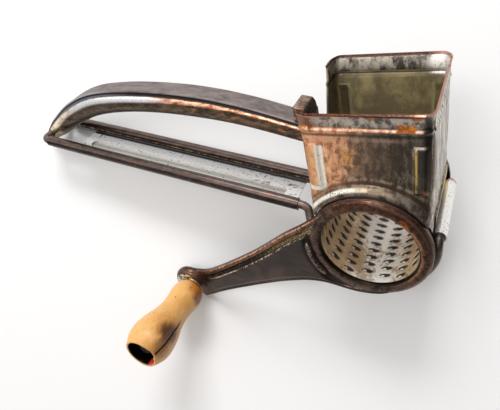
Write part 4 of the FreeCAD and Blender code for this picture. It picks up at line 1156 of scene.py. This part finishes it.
def knob_wood(settings):
    """Honey-coloured wood with grain along the knob, brown stains, painted shade on its lower side, and a
    long crack and a bore painted black as shade.
    """
    g = Graph("knob_wood")
    grain = g.noise(0.9, 6, 0.62, 1.2, g.stretched(1.0, 0.16, 1.0))
    fine = g.noise(2.6, 5, 0.7, 0.3, g.stretched(1.0, 0.22, 1.0))
    curl = g.noise(1.5, 4, 0.6, 1.6, g.join(g.x + g.y * 0.6, g.y * 0.35, g.z))
    broad = g.noise(0.09, 3, 0.5)
    g.colour = g.blend(grain.step(0.34, 0.68), settings.wood, settings.wood_dark)
    g.paint(broad.step(0.42, 0.66) * 0.5, rgb(0.74, 0.38, 0.11))
    g.paint(curl.step(0.50, 0.60) * g.y.step(-26.0, -38.0) * 0.45, rgb(0.58, 0.27, 0.08))
    g.paint(fine.step(0.56, 0.70) * 0.42, rgb(0.38, 0.16, 0.045))
    # Painted shade: browner on the knob's lower side.
    g.paint(g.z.stirred(grain, 6.0).step(-45.0, -52.0) * 0.6, rgb(0.40, 0.17, 0.06))
    cloud = (g.noise(0.22, 6, 0.7, 0.3, g.stretched(1.0, 0.5, 1.0)) - 0.5) * 2.2 + (fine - 0.5) * 0.3
    stains = (
        ((-92.4, -12.5, -39.6), 8.5, 0.95, rgb(0.55, 0.19, 0.03)),
        ((-91.0, -16.0, -43.0), 6.5, 0.9, rgb(0.26, 0.075, 0.018)),
        ((-93.0, -24.0, -37.0), 7.0, 0.5, rgb(0.60, 0.27, 0.05)),
        ((-91.0, -42.5, -35.6), 12.0, 0.8, rgb(0.60, 0.26, 0.05)),
        ((-90.4, -44.5, -36.4), 8.4, 0.97, rgb(0.085, 0.030, 0.012)),
        ((-91.4, -52.0, -37.5), 7.5, 0.8, rgb(0.18, 0.070, 0.025)),
        ((-97.0, -56.5, -35.5), 8.0, 0.7, rgb(0.62, 0.26, 0.05)),
    )
    for point, radius, strength, colour in stains:
        edge = cloud * 0.6 * g.near(point, radius * 1.1)
        g.paint((g.near(point, radius * 1.15, 0.0) + edge).step(0.06, 0.80) * strength, colour)
    share, turn = g.attribute("share"), g.attribute("turn")
    path = (share.step(0.50, 0.70) * 9.0 + 8.0 - share.step(0.86, 1.0) * 4.5).stirred(g.noise(0.5, 3), 5.0)
    length = share.step(0.46, 0.56) * share.step(0.998, 0.98)
    halo = (turn - path).size().step(16.0, 3.0) * length
    g.paint(halo * (0.35 + cloud * 0.3), rgb(0.13, 0.055, 0.022))
    # The crack is painted near black as shade.
    crack = (turn - path).size().step(3.4, 1.4) * length
    g.paint(crack, rgb(0.010, 0.005, 0.003))
    holes = (((-91.28, -18.19, -40.89), 0.75), ((-98.5, -24.07, -35.0), 0.5),
             ((-96.0, -26.0, -34.9), 0.4), ((-94.5, -15.2, -36.5), 0.5))
    for point, radius in holes:
        g.paint(g.near(point, radius) * 0.9, rgb(0.05, 0.02, 0.01))
    bore = g.attribute("bore")
    # The bore is painted black as shade.
    g.paint(bore.step(0.30, 0.65), rgb(0.006, 0.003, 0.002))
    in_bore = bore.step(0.3, 0.6)
    red = g.near((-92.5, -56.0, -47.0), 9.5, 0.3).stirred(fine, 0.5).step(0.30, 0.60) * in_bore
    g.paint(red, rgb(0.62, 0.045, 0.012))
    # A metal without colour gives back nothing, so the bore and the crack stay black under any light.
    metallic = (in_bore * (1.0 - red)).most(crack)
    roughness = fine * 0.2 + 0.34 + bore * 0.3
    height = grain * 0.6 + fine * 0.5 - crack * 2.0
    return g.finish(metallic, roughness, height, 0.06, 0.1)


RAIL_SLOPE = math.radians(10.8)
RAIL_START = (-36.0, 6.2)    # x and z of the rails' centre line at the hopper's end


def trough_tin(settings):
    """Lower handle: bright pitted floor, partly a painted reflection, olive groove, dark rails with painted
    highlights and shadow and a gold-specked edge.
    """
    g = Graph("trough_tin")
    _, streak, fine, pits = wear(g, (0.12, 1.0, 1.0))
    mottle = g.noise(0.4, 7, 0.72, 0.3, g.stretched(0.5, 1.0, 1.0))
    rail_z = (g.x - RAIL_START[0]) * -math.tan(RAIL_SLOPE) + RAIL_START[1]
    level = (g.z - rail_z) * math.cos(RAIL_SLOPE)
    out = (g.y - MID_Y).size()
    front = g.y.step(MID_Y, MID_Y - 2.0)
    g.colour = g.blend((mottle * 0.5 + streak * 0.5).step(0.38, 0.60), rgb(0.020, 0.015, 0.013),
                       rgb(0.060, 0.044, 0.038))
    # Painted highlight: lighter brown along the rails' tops.
    g.paint(level.step(1.1, 1.9) * (0.4 + mottle.step(0.38, 0.60) * 0.3), rgb(0.16, 0.115, 0.10))
    rust = mottle.step(0.56, 0.66) * level.step(-2.8, -2.0)
    g.paint(rust * 0.4, rgb(0.22, 0.085, 0.035))
    edge = level.inside(-1.0, 0.1, 0.2) * out.inside(8.2, 10.3, 0.3)
    g.paint(edge * fine.stirred(mottle, 1.2).step(0.50, 0.60) * 0.8, rgb(0.80, 0.56, 0.26))
    # Painted highlight: a bright line along the front rail's top.
    shine = level.inside(0.6, 1.9, 0.3) * out.step(10.0, 9.4) * front
    g.paint(shine * fine.step(0.30, 0.42), rgb(0.99, 0.95, 0.86))
    # The floor is painted near white: partly bright tin and partly the painted reflection of the pale table.
    # It is little metallic so that this stays bright.
    floor = level.step(-2.7, -3.1) * out.step(10.6, 10.2)
    g.paint_two(floor, fine.stirred(mottle, 0.7).step(0.22, 0.40), rgb(0.50, 0.44, 0.36),
                rgb(0.98, 0.99, 1.0))
    groove = level.step(-3.7, -4.1) * floor
    g.paint_two(groove * 0.8, out.stirred(streak, 2.0).step(0.0, 3.4), rgb(0.30, 0.28, 0.21),
                rgb(0.90, 0.89, 0.85))
    # Painted shadow: a black band where the floor meets the far rail.
    g.paint(floor * g.y.stirred(fine, 0.8).step(MID_Y + 8.5, MID_Y + 9.2) * 0.95, rgb(0.006, 0.005, 0.005))
    spots = g.specks(0.42, 0.22) * g.noise(0.12, 3).step(0.42, 0.56)
    g.paint(spots * floor * 0.95, rgb(0.02, 0.017, 0.015))
    g.paint(floor * g.x.inside(-163.6, -162.8, 0.4) * out.step(3.0, 8.0) * 0.8, rgb(0.05, 0.045, 0.04))
    g.paint(floor * mottle.step(0.54, 0.62) * g.x.step(-90.0, -45.0) * 0.9, rgb(0.14, 0.10, 0.07))
    g.paint(pits * 0.7, rgb(0.015, 0.012, 0.010))
    roughness = fine * 0.2 + mottle * 0.15 + 0.16 - floor * 0.04
    height = fine * 0.5 + streak * 0.3 - pits - spots
    return g.finish(0.93 - floor * 0.75, roughness, height)


def finish_packed_pieces(settings):
    """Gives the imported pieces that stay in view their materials."""
    steel = plain_metal("hub_steel", rgb(0.13, 0.09, 0.07), settings.steel, 0.36)
    sooty = plain_metal("spindle_steel", rgb(0.030, 0.022, 0.018), rgb(0.012, 0.009, 0.007), 0.5)
    wire = plain_metal("wire_steel", rgb(0.16, 0.12, 0.10), rgb(0.045, 0.035, 0.03), 0.36)
    brass = plain_metal("washer_brass", rgb(0.86, 0.72, 0.44), rgb(0.40, 0.27, 0.12), 0.3)
    tin = plain_metal("presser_tin", rgb(0.27, 0.19, 0.13), rgb(0.09, 0.065, 0.05), 0.34, (1.0, 1.0, 0.4))
    finishes = {
        "lower_handle": trough_tin(settings), "frame_wire": wire, "front_hub": steel, "rear_hub": steel,
        "knob_spindle": sooty, "knob_washer": sooty, "presser_plate": tin, "presser_rivets": tin,
        "boss_washer": brass,
    }
    for node, material in finishes.items():
        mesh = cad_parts[node].data
        mesh.materials.clear()
        mesh.materials.append(material)


# Stage -----------------------------------------------------------------------------------------

CAMERA_AT = Vector((0.06325, 0.01443, 0.26190))
CAMERA_TURN = Euler([math.radians(angle) for angle in (-0.7123, 11.1411, 5.5447)])
CAMERA_LENS = 33.979
PICTURE = (500, 410)
SKY_TOWARDS = Vector((-0.50, 0.30, 0.81)).normalized()    # where the sky is brightest
LIT_PLACE = (0.03, 0.0, 0.02)                             # what the lamps point at
# Each lamp's name, place, width and height, and share of the main light's power.
LAMPS = (
    ("key", (-0.15, 0.86, 0.78), (0.48, 0.34), 1.0),
    ("above", (-0.30, 0.04, 1.0), (0.26, 0.26), 0.24),
    ("left", (-0.95, 0.12, 0.75), (0.35, 0.8), 0.15),
    ("back", (-0.48, 1.0, 0.12), (0.90, 0.24), 0.15),
    ("front", (-0.50, -0.90, 0.24), (0.60, 0.30), 0.09),
)


def area_light(name, at, size, power):
    light = bpy.data.lights.new(name, "AREA")
    light.shape = "RECTANGLE"
    light.size, light.size_y = size
    light.energy = power
    lamp = bpy.data.objects.new(name, light)
    lamp.location = at
    lamp.rotation_euler = (Vector(LIT_PLACE) - Vector(at)).to_track_quat("-Z", "Y").to_euler()
    bpy.context.scene.collection.objects.link(lamp)


def build_floor(settings):
    bm = bmesh.new()
    bmesh.ops.create_grid(bm, x_segments=1, y_segments=1, size=3.0)
    mesh = bpy.data.meshes.new("floor")
    bm.to_mesh(mesh)
    bm.free()
    floor = bpy.data.objects.new("floor", mesh)
    bpy.context.scene.collection.objects.link(floor)
    g = Graph("floor_paper")
    g.colour = settings.floor
    mesh.materials.append(g.finish(0.0, g.noise(0.02, 2) * 0.1 + 0.75))


def build_camera():
    scene = bpy.context.scene
    camera = bpy.data.cameras.new("camera")
    camera.lens = CAMERA_LENS
    camera.clip_start = 0.01
    holder = bpy.data.objects.new("camera", camera)
    holder.location = CAMERA_AT
    holder.rotation_euler = CAMERA_TURN
    scene.collection.objects.link(holder)
    scene.camera = holder
    scene.render.resolution_x, scene.render.resolution_y = PICTURE
    scene.render.resolution_percentage = 100
    scene.view_settings.view_transform = "Standard"


def build_sky(settings):
    """World that is brighter towards one side, so that bent metal shows soft bands of light."""
    world = bpy.data.worlds.new("studio")
    world.use_nodes = True
    tree = world.node_tree
    sky = tree.nodes["Background"]
    coordinates = tree.nodes.new("ShaderNodeTexCoord")
    towards = tree.nodes.new("ShaderNodeVectorMath")
    towards.operation = "DOT_PRODUCT"
    towards.inputs[1].default_value = SKY_TOWARDS
    rise = tree.nodes.new("ShaderNodeMapRange")
    strengths = {"From Min": 0.10, "From Max": 0.85,
                 "To Min": settings.sky * 0.25, "To Max": settings.sky * 1.9}
    for name, value in strengths.items():
        rise.inputs[name].default_value = value
    tree.links.new(coordinates.outputs["Generated"], towards.inputs[0])
    tree.links.new(towards.outputs["Value"], rise.inputs["Value"])
    tree.links.new(rise.outputs[0], sky.inputs["Strength"])
    sky.inputs["Color"].default_value = rgb(1.0, 0.968, 0.95)
    bpy.context.scene.world = world


def build_stage(settings):
    build_floor(settings)
    build_camera()
    build_sky(settings)
    for name, at, size, share in LAMPS:
        area_light(name, at, size, settings.key * share)


# Add-on ----------------------------------------------------------------------------------------

def colour_property(name, description, default):
    return bpy.props.FloatVectorProperty(name=name, description=description, default=default, size=4,
                                         subtype="COLOR", min=0.0, max=1.0)


class ShredderSettings(bpy.types.PropertyGroup):
    """Sizes and colours that a user would change."""
    sheet: bpy.props.FloatProperty(
        name="Sheet", description="Thickness of the hopper's and the upper handle's sheet",
        default=0.8 * MM, min=0.3 * MM, max=1.5 * MM, precision=5, unit="LENGTH")
    dark: colour_property("Dark tin", "Colour of dulled tin", rgb(0.050, 0.040, 0.032))
    copper: colour_property("Copper tint", "Colour where the tin has worn to brown", rgb(0.86, 0.42, 0.22))
    olive: colour_property("Olive tin", "Colour of the hopper's inside", rgb(0.84, 0.69, 0.35))
    steel: colour_property("Steel", "Colour of the darkened steel", rgb(0.040, 0.032, 0.028))
    steel_brown: colour_property("Brown steel", "Colour of the steel's browned places", rgb(0.24, 0.14, 0.09))
    drum_bright: colour_property("Drum tin", "Colour of the drum's clean tin", rgb(0.99, 0.97, 0.92))
    wood: colour_property("Wood", "Colour of the knob's wood", rgb(0.83, 0.485, 0.17))
    wood_dark: colour_property("Dark wood", "Colour of the wood's grain", rgb(0.72, 0.38, 0.11))
    floor: colour_property("Floor", "Colour of the table", rgb(0.90, 0.90, 0.90))
    sky: bpy.props.FloatProperty(
        name="Sky", description="Strength of the light from all sides", default=0.47, min=0.0, max=3.0)
    key: bpy.props.FloatProperty(
        name="Key light", description="Power of the main light, which the other lamps follow",
        default=7.2, min=0.0, max=100.0, unit="POWER")


class SHREDDER_OT_hopper(bpy.types.Operator):
    """Builds the flared hopper with its collars, bands and hinge sleeve"""
    bl_idname = "shredder.hopper"
    bl_label = "Hopper"

    def execute(self, context):
        build_hopper(context.scene.shredder)
        return {"FINISHED"}


class SHREDDER_OT_upper_handle(bpy.types.Operator):
    """Builds the arched upper handle"""
    bl_idname = "shredder.upper_handle"
    bl_label = "Upper handle"

    def execute(self, context):
        build_upper_handle(context.scene.shredder)
        return {"FINISHED"}


class SHREDDER_OT_presser_leg(bpy.types.Operator):
    """Builds the hood at the upper handle's end and the leg that carries the presser plate"""
    bl_idname = "shredder.presser_leg"
    bl_label = "Presser leg"

    def execute(self, context):
        build_presser_stem(context.scene.shredder)
        return {"FINISHED"}


class SHREDDER_OT_crank(bpy.types.Operator):
    """Builds the stamped crank with its ring and boss"""
    bl_idname = "shredder.crank"
    bl_label = "Crank"

    def execute(self, context):
        build_crank(context.scene.shredder)
        return {"FINISHED"}


class SHREDDER_OT_drum(bpy.types.Operator):
    """Builds the drum with its raised teeth"""
    bl_idname = "shredder.drum"
    bl_label = "Drum"

    def execute(self, context):
        build_drum(context.scene.shredder)
        return {"FINISHED"}


class SHREDDER_OT_knob(bpy.types.Operator):
    """Builds the turned wooden knob"""
    bl_idname = "shredder.knob"
    bl_label = "Knob"

    def execute(self, context):
        build_knob(context.scene.shredder)
        return {"FINISHED"}


class SHREDDER_OT_finishes(bpy.types.Operator):
    """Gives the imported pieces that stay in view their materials"""
    bl_idname = "shredder.finishes"
    bl_label = "Finishes"

    def execute(self, context):
        finish_packed_pieces(context.scene.shredder)
        return {"FINISHED"}


class SHREDDER_OT_stage(bpy.types.Operator):
    """Sets up the table, the lights and the camera"""
    bl_idname = "shredder.stage"
    bl_label = "Stage"

    def execute(self, context):
        build_stage(context.scene.shredder)
        return {"FINISHED"}


OPERATORS = (SHREDDER_OT_hopper, SHREDDER_OT_upper_handle, SHREDDER_OT_presser_leg, SHREDDER_OT_crank,
             SHREDDER_OT_drum, SHREDDER_OT_knob, SHREDDER_OT_finishes, SHREDDER_OT_stage)


class SHREDDER_PT_panel(bpy.types.Panel):
    """Lists the settings and the operators"""
    bl_idname = "SHREDDER_PT_panel"
    bl_label = "Rotary shredder"
    bl_space_type = "VIEW_3D"
    bl_region_type = "UI"
    bl_category = "Shredder"

    def draw(self, context):
        settings = context.scene.shredder
        for name in ShredderSettings.__annotations__:
            self.layout.prop(settings, name)
        for operator in OPERATORS:
            self.layout.operator(operator.bl_idname)


CLASSES = (ShredderSettings,) + OPERATORS + (SHREDDER_PT_panel,)


def register():
    for cls in CLASSES:
        bpy.utils.register_class(cls)
    bpy.types.Scene.shredder = bpy.props.PointerProperty(type=ShredderSettings)


def unregister():
    del bpy.types.Scene.shredder
    for cls in reversed(CLASSES):
        bpy.utils.unregister_class(cls)


def main():
    register()
    for operator in OPERATORS:
        group, name = operator.bl_idname.split(".")
        getattr(getattr(bpy.ops, group), name)()


if __name__ == "__main__":
    main()
